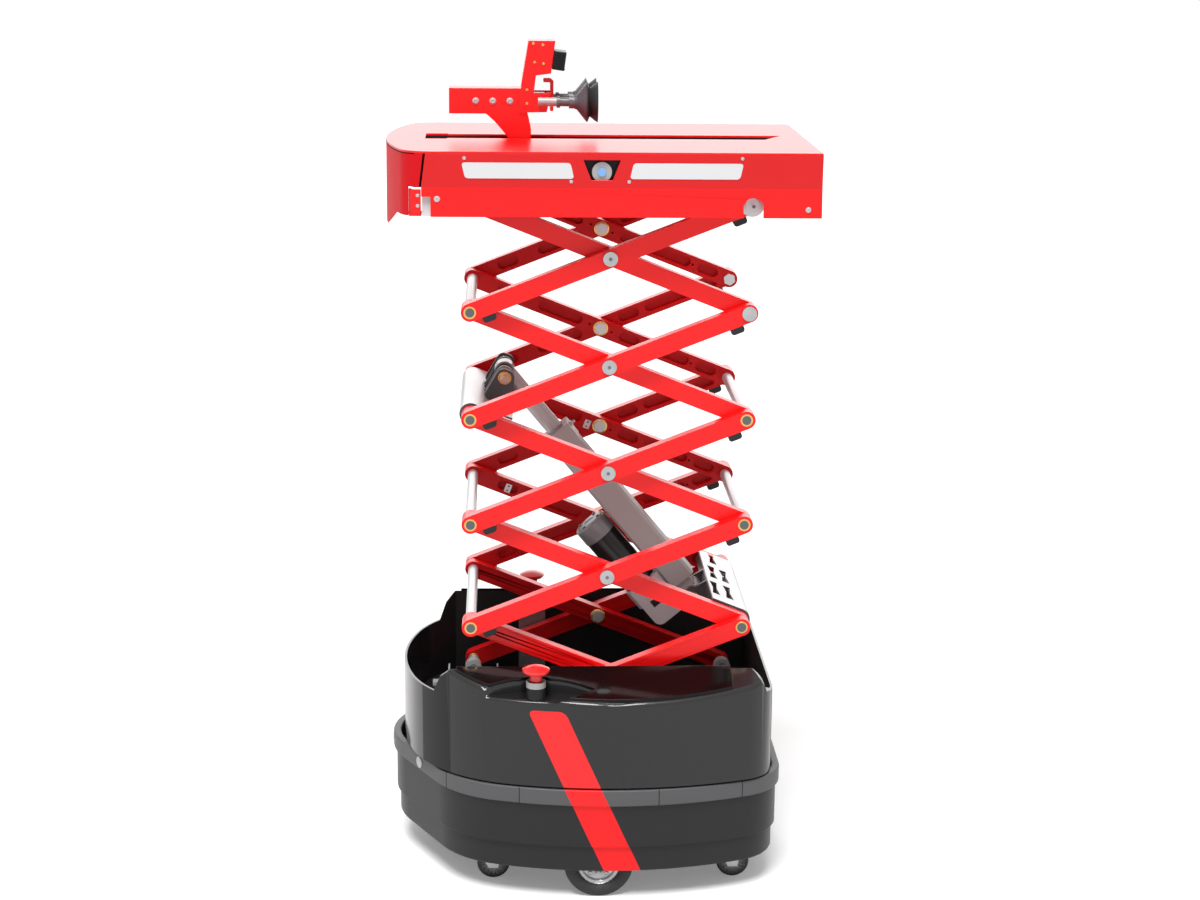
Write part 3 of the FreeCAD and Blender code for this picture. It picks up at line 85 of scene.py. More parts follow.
floor_mesh = bpy.data.meshes.new("floor")
half = FLOOR_SIZE / 2
corners = [(-half, -half, 0), (half, -half, 0), (half, half, 0), (-half, half, 0)]
floor_mesh.from_pydata(corners, [], [(0, 1, 2, 3)])
floor = link(bpy.data.objects.new("floor", floor_mesh))
floor_paint = bpy.data.materials.new("floor_paint")
floor_paint.use_nodes = True
floor_nodes, floor_links = floor_paint.node_tree.nodes, floor_paint.node_tree.links
floor_skin = floor_nodes["Principled BSDF"].inputs
floor_skin["Base Color"].default_value = (0.86, 0.86, 0.86, 1)
floor_skin["Roughness"].default_value = 0.9
seen_directly = floor_nodes.new("ShaderNodeLightPath")
glow = floor_nodes.new("ShaderNodeMath")
glow.operation = "MULTIPLY"
glow.inputs[1].default_value = FLOOR_GLOW
floor_links.new(seen_directly.outputs["Is Camera Ray"], glow.inputs[0])
floor_skin["Emission Color"].default_value = (1, 1, 1, 1)
floor_links.new(glow.outputs[0], floor_skin["Emission Strength"])
floor_mesh.materials.append(floor_paint)

SKY_LIGHT = 0.42
world = bpy.data.worlds.new("sky")
scene.world = world
world.use_nodes = True
sky_nodes, sky_links = world.node_tree.nodes, world.node_tree.links
sky = sky_nodes["Background"]
sky.inputs["Strength"].default_value = SKY_LIGHT
white = sky_nodes.new("ShaderNodeBackground")
white.inputs["Color"].default_value = (1, 1, 1, 1)
white.inputs["Strength"].default_value = 1.0
rays = sky_nodes.new("ShaderNodeLightPath")
seen = sky_nodes.new("ShaderNodeMath")
seen.operation = "MAXIMUM"
mirrored = sky_nodes.new("ShaderNodeMath")
mirrored.operation = "MAXIMUM"
choose = sky_nodes.new("ShaderNodeMixShader")
sky.inputs["Color"].default_value = (1, 1, 1, 1)
sky_links.new(rays.outputs["Is Camera Ray"], seen.inputs[0])
sky_links.new(rays.outputs["Is Glossy Ray"], seen.inputs[1])
sky_links.new(seen.outputs[0], mirrored.inputs[0])
sky_links.new(rays.outputs["Is Transmission Ray"], mirrored.inputs[1])
sky_links.new(mirrored.outputs[0], choose.inputs[0])
sky_links.new(sky.outputs[0], choose.inputs[1])
sky_links.new(white.outputs[0], choose.inputs[2])
sky_links.new(choose.outputs[0], sky_nodes["World Output"].inputs["Surface"])

for name, strength, spread, direction in (
        ("key_lamp", 3.1, 26, (0.12, 0.46, -1.0)),
        ("rim_lamp", 0.8, 50, (-0.1, -1.0, -0.34))):
    lamp = link(bpy.data.objects.new(name, bpy.data.lights.new(name, "SUN")))
    lamp.data.energy = strength
    lamp.data.angle = math.radians(spread)
    lamp.rotation_euler = Vector(direction).to_track_quat("-Z", "Y").to_euler()


# ---------------------------------------------------------------- base shells
# The moulded housing: a glossy upper shell with its two pods, a grey rubber bumper in five
# lengths, and a two-tier skirt.  A broad red stripe runs down both flanks across all three.
def grain_group():
    """Fine surface grain on Object coordinates: a height for Bump and a slow tone for colour."""
    group = bpy.data.node_groups.new("surface_grain", "ShaderNodeTree")
    for socket, default in (("Grain Scale", 900.0), ("Tone Scale", 9.0), ("Tone", 0.05)):
        item = group.interface.new_socket(socket, in_out="INPUT", socket_type="NodeSocketFloat")
        item.default_value = default
    stretch = group.interface.new_socket("Stretch", in_out="INPUT", socket_type="NodeSocketVector")
    stretch.default_value = (1, 1, 1)
    for socket in ("Height", "Shade"):
        group.interface.new_socket(socket, in_out="OUTPUT", socket_type="NodeSocketFloat")
    made, join = group.nodes, group.links
    entry, leave = made.new("NodeGroupInput"), made.new("NodeGroupOutput")
    place = made.new("ShaderNodeTexCoord")
    pull = made.new("ShaderNodeVectorMath")
    pull.operation = "MULTIPLY"
    fine, slow = made.new("ShaderNodeTexNoise"), made.new("ShaderNodeTexNoise")
    fine.inputs["Detail"].default_value = 3.0
    slow.inputs["Detail"].default_value = 4.0
    spread = made.new("ShaderNodeMapRange")
    spread.inputs["From Min"].default_value = 0.3
    spread.inputs["From Max"].default_value = 0.7
    lower = made.new("ShaderNodeMath")
    lower.operation = "SUBTRACT"
    lower.inputs[0].default_value = 1.0
    join.new(place.outputs["Object"], pull.inputs[0])
    join.new(entry.outputs["Stretch"], pull.inputs[1])
    join.new(pull.outputs[0], fine.inputs["Vector"])
    join.new(entry.outputs["Grain Scale"], fine.inputs["Scale"])
    join.new(place.outputs["Object"], slow.inputs["Vector"])
    join.new(entry.outputs["Tone Scale"], slow.inputs["Scale"])
    join.new(slow.outputs["Fac"], spread.inputs["Value"])
    join.new(entry.outputs["Tone"], lower.inputs[1])
    join.new(lower.outputs[0], spread.inputs["To Min"])
    join.new(fine.outputs["Fac"], leave.inputs["Height"])
    join.new(spread.outputs["Result"], leave.inputs["Shade"])
    return group


GRAIN = grain_group()


def finish(name, colour, roughness, metal=0.0, grain=900.0, depth=0.02, tone=0.06, tone_scale=9.0,
           coat=0.0, coat_roughness=0.1, stretch=(1, 1, 1), wear=0.15, shine=0.5):
    """One finish: a base colour in linear light, its grain, its slow change of tone and its gloss."""
    paint = bpy.data.materials.new(name)
    paint.use_nodes = True
    made, join = paint.node_tree.nodes, paint.node_tree.links
    skin = made["Principled BSDF"]
    skin.inputs["Metallic"].default_value = metal
    skin.inputs["Coat Weight"].default_value = coat
    skin.inputs["Specular IOR Level"].default_value = shine
    skin.inputs["Coat Roughness"].default_value = coat_roughness
    texture = made.new("ShaderNodeGroup")
    texture.node_tree = GRAIN
    texture.inputs["Grain Scale"].default_value = grain
    texture.inputs["Tone Scale"].default_value = tone_scale
    texture.inputs["Tone"].default_value = tone
    texture.inputs["Stretch"].default_value = stretch
    tint = made.new("ShaderNodeMix")
    tint.name = "tint"
    tint.data_type = "RGBA"
    tint.blend_type = "MULTIPLY"
    tint.inputs["Factor"].default_value = 1.0
    tint.inputs[6].default_value = (*colour, 1)
    join.new(texture.outputs["Shade"], tint.inputs[7])
    join.new(tint.outputs[2], skin.inputs["Base Color"])
    rough = made.new("ShaderNodeMapRange")
    rough.inputs["To Min"].default_value = roughness * (1 - wear)
    rough.inputs["To Max"].default_value = roughness * (1 + wear)
    join.new(texture.outputs["Height"], rough.inputs["Value"])
    join.new(rough.outputs["Result"], skin.inputs["Roughness"])
    bump = made.new("ShaderNodeBump")
    bump.inputs["Strength"].default_value = 0.35
    bump.inputs["Distance"].default_value = depth / 1000
    join.new(texture.outputs["Height"], bump.inputs["Height"])
    join.new(bump.outputs["Normal"], skin.inputs["Normal"])
    return paint


STRIPE_RED = (0.94, 0.008, 0.010)
# Where the stripe starts at its top, and how far it leans towards the tail on its way down.
STRIPE_TOP, STRIPE_TOP_X, STRIPE_WIDTH, STRIPE_LEAN = 0.294, -0.102, 0.054, -0.455


def stripe_group():
    """1 inside the slanted stripe, read from Object coordinates as seen square to the flank."""
    group = bpy.data.node_groups.new("flank_stripe", "ShaderNodeTree")
    for socket, default in (("Top", STRIPE_TOP), ("Start", STRIPE_TOP_X), ("Width", STRIPE_WIDTH),
                            ("Lean", STRIPE_LEAN), ("Corner", 0.009)):
        item = group.interface.new_socket(socket, in_out="INPUT", socket_type="NodeSocketFloat")
        item.default_value = default
    group.interface.new_socket("Inside", in_out="OUTPUT", socket_type="NodeSocketFloat")
    made, join = group.nodes, group.links
    entry, leave = made.new("NodeGroupInput"), made.new("NodeGroupOutput")
    place, split = made.new("ShaderNodeTexCoord"), made.new("ShaderNodeSeparateXYZ")
    join.new(place.outputs["Object"], split.inputs[0])

    def sum_of(kind, first, second):
        node = made.new("ShaderNodeMath")
        node.operation = kind
        for socket, value in zip(node.inputs, (first, second)):
            if isinstance(value, (int, float)):
                socket.default_value = value
            else:
                join.new(value, socket)
        return node.outputs[0]

    below = sum_of("SUBTRACT", split.outputs["Z"], entry.outputs["Top"])
    slide = sum_of("MULTIPLY", below, entry.outputs["Lean"])
    across = sum_of("SUBTRACT", sum_of("SUBTRACT", split.outputs["X"], entry.outputs["Start"]), slide)
    middle = sum_of("MULTIPLY", entry.outputs["Width"], 0.5)
    off = sum_of("ABSOLUTE", sum_of("SUBTRACT", across, middle), 0)
    past_middle = sum_of("ADD", sum_of("SUBTRACT", off, middle), entry.outputs["Corner"])
    beyond_side = sum_of("MAXIMUM", past_middle, 0)
    beyond_top = sum_of("MAXIMUM", sum_of("ADD", below, entry.outputs["Corner"]), 0)
    away = sum_of("SQRT", sum_of("ADD", sum_of("MULTIPLY", beyond_side, beyond_side),
                                 sum_of("MULTIPLY", beyond_top, beyond_top)), 0)
    inside = made.new("ShaderNodeMapRange")
    join.new(sum_of("SUBTRACT", away, entry.outputs["Corner"]), inside.inputs["Value"])
    inside.inputs["From Min"].default_value = 0.0002
    inside.inputs["From Max"].default_value = -0.0002
    join.new(inside.outputs["Result"], leave.inputs["Inside"])
    return group


STRIPE = stripe_group()


def striped(paint):
    """Lay the red stripe over a finish."""
    made, join = paint.node_tree.nodes, paint.node_tree.links
    mask, over = made.new("ShaderNodeGroup"), made.new("ShaderNodeMix")
    mask.node_tree = STRIPE
    over.data_type = "RGBA"
    over.inputs[7].default_value = (*STRIPE_RED, 1)
    join.new(mask.outputs["Inside"], over.inputs["Factor"])
    join.new(made["tint"].outputs[2], over.inputs[6])
    join.new(over.outputs[2], made["Principled BSDF"].inputs["Base Color"])
    return paint


def dress(names, paint, edge=0.0008, steps=2, others=(), pick=None, flat=False):
    """Finish CAD nodes as they stand: weld their facets, round their edges a little, and paint.

    others are further finishes, and pick(centre, normal) says which one a facet has: 0 is paint.
    """
    for name in names:
        thing = nodes[name]
        thing.data.materials.clear()
        for coat in (paint, *others):
            thing.data.materials.append(coat)
        for face in thing.data.polygons:
            face.use_smooth = not flat
            face.material_index = pick(face.center, face.normal) if pick else 0
        weld = thing.modifiers.new("weld", "WELD")
        weld.merge_threshold = 0.00001
        if edge:
            bevel = thing.modifiers.new("round_edges", "BEVEL")
            bevel.width = edge
            bevel.segments = steps
            bevel.limit_method = "ANGLE"
            bevel.angle_limit = math.radians(32)
            bevel.use_clamp_overlap = True
        if not flat:
            thing.modifiers.new("even_shading", "WEIGHTED_NORMAL").keep_sharp = False


def lathe(bm, profile, origin, axis, steps=32, paint=0):
    """Add a turned form: profile lists (distance along the axis, radius), in millimetres."""
    axis = Vector(axis).normalized()
    side = axis.orthogonal().normalized()
    over = axis.cross(side)
    rings = []
    for along, radius in profile:
        middle = Vector(origin) + axis * along
        if radius < 0.001:
            rings.append([bm.verts.new(middle)] * steps)
            continue
        rings.append([bm.verts.new(middle + side * radius * math.cos(math.tau * n / steps)
                                   + over * radius * math.sin(math.tau * n / steps)) for n in range(steps)])
    for first, second in zip(rings, rings[1:]):
        for n in range(steps):
            corners = [first[n], first[(n + 1) % steps], second[(n + 1) % steps], second[n]]
            face = bm.faces.new(list(dict.fromkeys(corners)))
            face.material_index = paint
    return bm


def plate(bm, loops, low, high, place=Matrix()):
    """Add a flat plate between two levels of place: loops lists its outline and then its holes."""
    loops = [[Vector((x, y, 0)) for x, y in loop] for loop in loops]
    flat = [point for loop in loops for point in loop]
    levels = [[bm.verts.new(place @ Vector((p.x, p.y, level))) for p in flat] for level in (low, high)]
    for corners in tessellate_polygon(loops):
        for level in levels:
            bm.faces.new([level[n] for n in corners])
    start = 0
    bottom, top = levels
    for loop in loops:
        for n in range(len(loop)):
            first, second = start + n, start + (n + 1) % len(loop)
            bm.faces.new([bottom[first], bottom[second], top[second], top[first]])
        start += len(loop)
    return bm


def rounded(corners, radius, steps=5):
    """The outline through corners, each turned with an arc of the radius."""
    outline = []
    for before, corner, after in zip(corners[-1:] + corners[:-1], corners, corners[1:] + corners[:1]):
        here = Vector(corner)
        back, ahead = (Vector(before) - here), (Vector(after) - here)
        cut = min(radius, 0.45 * back.length, 0.45 * ahead.length)
        first, last = here + back.normalized() * cut, here + ahead.normalized() * cut
        for n in range(steps + 1):
            share = n / steps
            point = first.lerp(here, share).lerp(here.lerp(last, share), share)
            outline.append((point.x, point.y))
    return outline


def circle(x, y, radius, steps=24):
    return [(x + radius * math.cos(math.tau * n / steps), y + radius * math.sin(math.tau * n / steps))
            for n in range(steps)]


SMOOTH_UNDER = math.radians(34)


def shade(bm):
    """Smooth faces, with a hard edge wherever two of them meet at more than a slight angle."""
    for face in bm.faces:
        face.smooth = True
    for seam in bm.edges:
        seam.smooth = len(seam.link_faces) == 2 and seam.calc_face_angle(0) < SMOOTH_UNDER


def made(name, bm, body, slot, paints, replaces=(), edge=0.0):
    """Close a form drawn in millimetres, turn its faces out, and hang it on its body."""
    bmesh.ops.remove_doubles(bm, verts=bm.verts, dist=0.0005)
    bmesh.ops.recalc_face_normals(bm, faces=bm.faces)
    bmesh.ops.scale(bm, vec=(0.001, 0.001, 0.001), verts=bm.verts)
    shade(bm)
    mesh = bpy.data.meshes.new(name)
    bm.to_mesh(mesh)
    bm.free()
    for paint in paints:
        mesh.materials.append(paint)
    piece = link(bpy.data.objects.new(name, mesh))
    if edge:
        bevel = piece.modifiers.new("round_edges", "BEVEL")
        bevel.width = edge
        bevel.segments = 2
        bevel.limit_method = "ANGLE"
        bevel.angle_limit = SMOOTH_UNDER
        bevel.harden_normals = True
    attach(piece, body)
    if replaces:
        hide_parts(*replaces)
    return piece


def spread_tree():
    """Set a prototype on each point, turned to the point's facing, and make them one mesh."""
    tree = bpy.data.node_groups.new("set_on_points", "GeometryNodeTree")
    tree.interface.new_socket("Geometry", in_out="INPUT", socket_type="NodeSocketGeometry")
    tree.interface.new_socket("Prototype", in_out="INPUT", socket_type="NodeSocketObject")
    tree.interface.new_socket("Finish", in_out="INPUT", socket_type="NodeSocketMaterial")
    tree.interface.new_socket("Geometry", in_out="OUTPUT", socket_type="NodeSocketGeometry")
    made_nodes, join = tree.nodes, tree.links
    entry, leave = made_nodes.new("NodeGroupInput"), made_nodes.new("NodeGroupOutput")
    info = made_nodes.new("GeometryNodeObjectInfo")
    facing = made_nodes.new("GeometryNodeInputNamedAttribute")
    facing.data_type = "FLOAT_VECTOR"
    facing.inputs["Name"].default_value = "facing"
    size = made_nodes.new("GeometryNodeInputNamedAttribute")
    size.data_type = "FLOAT"
    size.inputs["Name"].default_value = "size"
    turn = made_nodes.new("FunctionNodeAlignRotationToVector")
    turn.axis = "Z"
    spread = made_nodes.new("GeometryNodeInstanceOnPoints")
    real = made_nodes.new("GeometryNodeRealizeInstances")
    coat = made_nodes.new("GeometryNodeSetMaterial")
    join.new(entry.outputs["Geometry"], spread.inputs["Points"])
    join.new(entry.outputs["Prototype"], info.inputs["Object"])
    join.new(info.outputs["Geometry"], spread.inputs["Instance"])
    join.new(facing.outputs["Attribute"], turn.inputs["Vector"])
    join.new(turn.outputs["Rotation"], spread.inputs["Rotation"])
    join.new(size.outputs["Attribute"], spread.inputs["Scale"])
    join.new(spread.outputs["Instances"], real.inputs["Geometry"])
    join.new(real.outputs["Geometry"], coat.inputs["Geometry"])
    join.new(entry.outputs["Finish"], coat.inputs["Material"])
    join.new(coat.outputs["Geometry"], leave.inputs["Geometry"])
    return tree


SET_ON_POINTS = spread_tree()


def scatter(name, profile, spots, paint, body, steps=20):
    """Turned fasteners of one profile, at spots (place in millimetres, facing, size)."""
    shape = lathe(bmesh.new(), profile, (0, 0, 0), (0, 0, 1), steps)
    bmesh.ops.remove_doubles(shape, verts=shape.verts, dist=0.0005)
    bmesh.ops.recalc_face_normals(shape, faces=shape.faces)
    return scatter_form(name, shape, spots, paint, body)


def scatter_form(name, shape, spots, paint, body):
    """The same for any form, drawn in millimetres about its seat with +Z outwards."""
    bmesh.ops.scale(shape, vec=(0.001, 0.001, 0.001), verts=shape.verts)
    shade(shape)
    form = bpy.data.meshes.new(name + "_form")
    shape.to_mesh(form)
    shape.free()
    prototype = bpy.data.objects.new(name + "_form", form)
    points = bpy.data.meshes.new(name)
    points.from_pydata([tuple(c / 1000 for c in spot[0]) for spot in spots], [], [])
    points.attributes.new("facing", "FLOAT_VECTOR", "POINT")
    points.attributes.new("size", "FLOAT", "POINT")
    for n, spot in enumerate(spots):
        points.attributes["facing"].data[n].vector = spot[1]
        points.attributes["size"].data[n].value = spot[2]
    piece = link(bpy.data.objects.new(name, points))
    maker = piece.modifiers.new("set_on_points", "NODES")
    maker.node_group = SET_ON_POINTS
    sockets = {item.name: item.identifier for item in SET_ON_POINTS.interface.items_tree
               if item.in_out == "INPUT"}
    maker[sockets["Prototype"]] = prototype
    maker[sockets["Finish"]] = paint
    evaluated = piece.evaluated_get(bpy.context.evaluated_depsgraph_get())
    result = bpy.data.meshes.new_from_object(evaluated)
    piece.modifiers.clear()
    piece.data = result
    bpy.data.objects.remove(prototype)
    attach(piece, body)
    return piece


def strike(name, start, ahead):
    """Where a line from a point, in millimetres, meets a CAD node, and the surface's facing there."""
    thing = nodes[name]
    place, normal = thing.ray_cast(Vector(start) / 1000, Vector(ahead).normalized())[1:3]
    return place * 1000, normal


shell_gloss = striped(finish("shell_gloss", (0.013, 0.013, 0.014), 0.2, coat=0.35, coat_roughness=0.04,
                             grain=1400, depth=0.004, tone=0.05, shine=0.3))
skirt_satin = striped(finish("skirt_satin", (0.016, 0.016, 0.017), 0.4, grain=1600, depth=0.012, shine=0.3))
bumper_rubber = striped(finish("bumper_rubber", (0.088, 0.088, 0.092), 0.5, grain=1300, depth=0.02,
                               shine=0.4))
# Painted shade: a matt black, darker than the shell, for the faces inside the lift's well.
well_shade_black = finish("well_shade_black", (0.008, 0.008, 0.008), 0.5, grain=1200, depth=0.02, shine=0.3)


WELL_HALF, WELL_NOSE, WELL_TAIL = 0.2005, -0.255, 0.262
# The pods' outer shoulders, and how steep a face is that counts as their wall or their top.
POD_HALF, POD_NOSE, POD_TAIL, POD_LOW = 0.2035, -0.224, 0.25, 0.285
WALL_LIFT, TOP_LIFT = 0.25, 0.6
SHOULDER_RADIUS = 0.0055


def inside_well(centre, normal):
    """The walls and the underside that face the lift's well get a matt black darker than the shell, as
    painted shade inside the well.
    """
    near_well = abs(centre.y) < WELL_HALF and WELL_NOSE < centre.x < WELL_TAIL
    return 1 if near_well and normal.z < 0.5 else 0


def moulded_shell():
    """The upper shell again with its outer shoulder turned on a soft radius, as it is moulded."""
    bm = bmesh.new()
    bm.from_mesh(nodes["upper_shell"].data)
    bmesh.ops.remove_doubles(bm, verts=bm.verts, dist=0.00001)
    bmesh.ops.dissolve_limit(bm, angle_limit=math.radians(0.6), verts=bm.verts, edges=bm.edges)
    weight = bm.edges.layers.float.new("bevel_weight_edge")
    bm.normal_update()
    for seam in bm.edges:
        seam.smooth = len(seam.link_faces) == 2 and seam.calc_face_angle(0) < math.radians(30)
        if len(seam.link_faces) != 2 or not seam.is_convex:
            continue
        middle = (seam.verts[0].co + seam.verts[1].co) / 2
        lifts = sorted(face.normal.z for face in seam.link_faces)
        on_pod = abs(middle.y) > POD_HALF and POD_NOSE < middle.x < POD_TAIL and middle.z > POD_LOW
        if lifts[0] < WALL_LIFT and lifts[1] > TOP_LIFT and on_pod:
            wall = [face for face in seam.link_faces if face.normal.z < WALL_LIFT][0]
            if wall.normal.dot(Vector((middle.x, middle.y, 0))) > 0:
                seam[weight] = 1.0
    for face in bm.faces:
        face.smooth = True
        face.material_index = inside_well(face.calc_center_median(), face.normal)
    mesh = bpy.data.meshes.new("moulded_shell")
    bm.to_mesh(mesh)
    bm.free()
    for paint in (shell_gloss, well_shade_black):
        mesh.materials.append(paint)
    shell = link(bpy.data.objects.new("moulded_shell", mesh))
    shoulder = shell.modifiers.new("shoulder", "BEVEL")
    shoulder.width = SHOULDER_RADIUS
    shoulder.segments = 4
    shoulder.limit_method = "WEIGHT"
    shoulder.use_clamp_overlap = False
    shoulder.harden_normals = True
    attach(shell, "base")
    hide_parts("upper_shell")


moulded_shell()
dress(["lower_skirt"], skirt_satin, 0.001)
dress(["bumper"], bumper_rubber, 0.0025, 3)
smoked_gloss = finish("smoked_gloss", (0.005, 0.004, 0.004), 0.08, depth=0.001, tone=0.1, shine=0.2)
dress(["pod_covers"], smoked_gloss, 0.0006)
frame_black = finish("frame_black", (0.010, 0.010, 0.011), 0.5, grain=1200, depth=0.02, shine=0.3)
dress(["frame_plates", "battery_pack", "drive_motors"], frame_black)
collar_grey = finish("collar_grey", (0.36, 0.36, 0.36), 0.4, grain=1500)
# Mushroom-headed emergency stops: a red head over a pale sleeve on a dark collar.
stop_red = finish("stop_red", (0.86, 0.02, 0.02), 0.3, grain=1500, depth=0.006, coat=0.4)
dress(["stop_collars"], frame_black, 0.0006)
collar_low, collar_high = (Vector(corner) * 1000 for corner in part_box("stop_collars"))
collar_radius = (collar_high.x - collar_low.x) / 2
sleeve_start = (collar_low.z + 2 * collar_high.z) / 3
sleeves = bmesh.new()
for y in (collar_low.y + collar_radius, collar_high.y - collar_radius):
    lathe(sleeves, [(sleeve_start, collar_radius - 1), (sleeve_start, collar_radius + 0.4),
                    (collar_high.z - 0.6, collar_radius + 0.4), (collar_high.z + 0.1, collar_radius - 0.3),
                    (collar_high.z + 0.1, collar_radius - 1), (sleeve_start, collar_radius - 1)],
          (collar_low.x + collar_radius, y, 0), (0, 0, 1), 40)
made("collar_sleeves", sleeves, "base", "collar_grey", [collar_grey])
dress(["stop_button_near", "stop_button_far"], stop_red, 0.0006)
post_silver = finish("post_silver", (0.30, 0.30, 0.31), 0.35, metal=0.6, stretch=(1, 1, 12))
dress(["sensor_post"], post_silver)

# The bumper's lengths meet in fine dark seams, and round caps cover its fixings at both ends.
SEAM_XS, BUMPER_MIDDLE, SEAM_HALF = (-222, -114, 90, 215), 162.5, 12.2
seam_dark = finish("seam_dark", (0.006, 0.006, 0.006), 0.6, shine=0.2)


def upright(place, normal):
    """A frame on a wall: +X level along it, +Y up, +Z out of it."""
    out = Vector(normal).normalized()
    level = Vector((0, 0, 1)).cross(out).normalized()
    return Matrix.Translation(place) @ Matrix((level, out.cross(level), out)).transposed().to_4x4()


seams = bmesh.new()
for x in SEAM_XS:
    for side in (-1, 1):
        place, normal = strike("bumper", (x, side * 400, BUMPER_MIDDLE), (0, -side, 0))
        outline = [(-0.55, -SEAM_HALF), (0.55, -SEAM_HALF), (0.55, SEAM_HALF), (-0.55, SEAM_HALF)]
        plate(seams, [outline], -0.6, 0.12, upright(place, normal))
made("bumper_seams", seams, "base", "frame_steel", [seam_dark])

cap_light = finish("cap_light", (0.5, 0.5, 0.5), 0.35, grain=1500)
caps = []
for x, y, ahead, size in ((-500, -121, (1, 0, 0), 1.0), (-500, 121, (1, 0, 0), 1.0),
                          (-500, -2.5, (1, 0, 0), 0.7), (500, -162, (-1, 0.3, 0), 0.8),
                          (500, 162, (-1, -0.3, 0), 0.8)):
    place, normal = strike("bumper", (x, y, BUMPER_MIDDLE), ahead)
    caps.append((place, normal, size))
CAP = [(-1, 0), (-1, 9), (0.8, 9), (1.2, 8.4), (1.2, 6.5), (0.7, 6), (0.7, 0)]
scatter("bumper_caps", CAP, caps, cap_light, "base", 28)

# ---------------------------------------------------------------- wheels
# Two driven wheels with rubber tyres on dished silver hubs, each held by five bolts, and four
# swivel casters whose small tyred wheels turn in zinc forks.
tyre_black = finish("tyre_black", (0.016, 0.016, 0.017), 0.6, grain=700, depth=0.06)
zinc = finish("zinc", (0.50, 0.51, 0.52), 0.34, metal=0.7, grain=600, depth=0.01, tone=0.2, tone_scale=60)
HUB_RADIUS, CASTER_HUB = 0.0312, 0.014
HUB_BOLTS, BOLT_RING = 5, 20
HUB_BOLT = [(-0.5, 0), (-0.5, 3.4), (1.8, 3.4), (2.3, 2.9), (2.3, 1.7), (0.8, 1.7), (0.8, 0)]


def hub_of(joint, radius):
    """Facets nearer than the radius to a joint's axle are the hub's."""
    axle = Vector(joints[joint]["pos_m"])

    def pick(centre, normal):
        return 1 if math.hypot(centre.x - axle.x, centre.z - axle.z) < radius else 0
    return pick


for word in ("near", "far"):
    dress([f"drive_wheel_{word}"], tyre_black, 0, 1, (zinc,), hub_of(f"drive_wheel_{word}_spin", HUB_RADIUS))
    axle = Vector(joints[f"drive_wheel_{word}_spin"]["pos_m"]) * 1000
    out = -1 if word == "near" else 1
    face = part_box(f"drive_wheel_{word}")[0 if out < 0 else 1][1] * 1000
    spots = []
    for n in range(HUB_BOLTS):
        angle = math.tau * n / HUB_BOLTS + 0.3
        start = (axle.x + BOLT_RING * math.cos(angle), face + out * 50, axle.z + BOLT_RING * math.sin(angle))
        place, normal = strike(f"drive_wheel_{word}", start, (0, -out, 0))
        spots.append((place, normal, 1.0))
    scatter(f"hub_bolts_{word}", HUB_BOLT, spots, zinc, f"drive_wheel_{word}")
ends = [f"{end}_{word}" for end in ("front", "rear") for word in ("near", "far")]
dress([f"caster_fork_{place}" for place in ends], zinc, 0.0004)
for place in ends:
    dress([f"caster_wheel_{place}"], tyre_black, 0, 1, (zinc,), hub_of(f"caster_{place}_roll", CASTER_HUB))

# ---------------------------------------------------------------- scissor lift
# Ten pairs of red powder-coated bars on steel pins in brass bushes, with rubber stops under
# the rising bars and zinc tubes between the pairs.
red_coat = finish("red_coat", (0.93, 0.006, 0.007), 0.34, grain=1100, depth=0.02, tone=0.04, coat=0.12,
                  coat_roughness=0.2, shine=0.3)
STAGES = 5
# Painted shade: a darker red for the arms' sides that face into the lift.
inward_shade_red = finish("inward_shade_red", (0.52, 0.004, 0.006), 0.42, grain=1100, depth=0.02, tone=0.06, shine=0.2)


def towards_middle(centre, normal):
    """The sides of the arms that face each other across the lift are painted a darker red, as painted shade
    inside the lift.
    """
    return 1 if normal.y * centre.y < 0 and abs(normal.y) > 0.2 else 0


arms = [f"{side}_arms_{stage}" for side in ("inner", "outer") for stage in range(1, STAGES + 1)]
dress(arms[1:], red_coat, 0.001, 2, (inward_shade_red,), towards_middle)
dress(arms[:1], red_coat, 0.001, 2, (inward_shade_red,), towards_middle, flat=True)
brass = finish("brass", (0.78, 0.50, 0.17), 0.28, metal=0.85, grain=500, depth=0.01, tone=0.1, tone_scale=40)
rubber = finish("rubber", (0.014, 0.014, 0.015), 0.55, grain=900, depth=0.03, shine=0.35)
pin_grey = finish("pin_grey", (0.11, 0.125, 0.125), 0.35, metal=0.3, grain=900, depth=0.01)
tube_zinc = finish("tube_zinc", (0.62, 0.63, 0.64), 0.32, metal=0.35, grain=700, depth=0.01, tone=0.08,
                   shine=0.35)
RIGHT = Vector(joints["lift"]["pos_m"])
MIDDLE = Vector(joints["outer_arms_1_cross"]["pos_m"])
RISE = 2 * (MIDDLE.z - RIGHT.z)
LEFT = Vector((2 * MIDDLE.x - RIGHT.x, 0, RIGHT.z))
pivots = [Vector((column.x, 0, RIGHT.z + level * RISE))
          for column in (LEFT, RIGHT) for level in range(STAGES + 1)]
middles = [Vector((MIDDLE.x, 0, RIGHT.z + (stage + 0.5) * RISE)) for stage in range(STAGES)]


def near_any(centre, places, radius):
    return any(math.hypot(centre.x - p.x, centre.z - p.z) < radius for p in places)


BUSH_REACH = 0.0118
dress([f"arm_fittings_{stage}" for stage in range(1, STAGES + 1)], rubber, 0.0005, 2, (brass,),
      lambda centre, normal: 1 if near_any(centre, pivots + middles, BUSH_REACH) else 0)
# Distances from the middle of the machine to the inner arms' inner faces and the outer arms' outer faces.
INNER_FACE, OUTER_SKIN = 0.1355, 0.1765


def shaft_finish(centre, normal):
    """Tubes are bright, and the pins' ends are dull grey beside the bolts' zinc heads."""
    if abs(centre.y) < INNER_FACE - 0.0002:
        return 1
    if abs(centre.y) < OUTER_SKIN + 0.0012 and near_any(centre, pivots[:-1], 0.02):
        return 2
    return 0


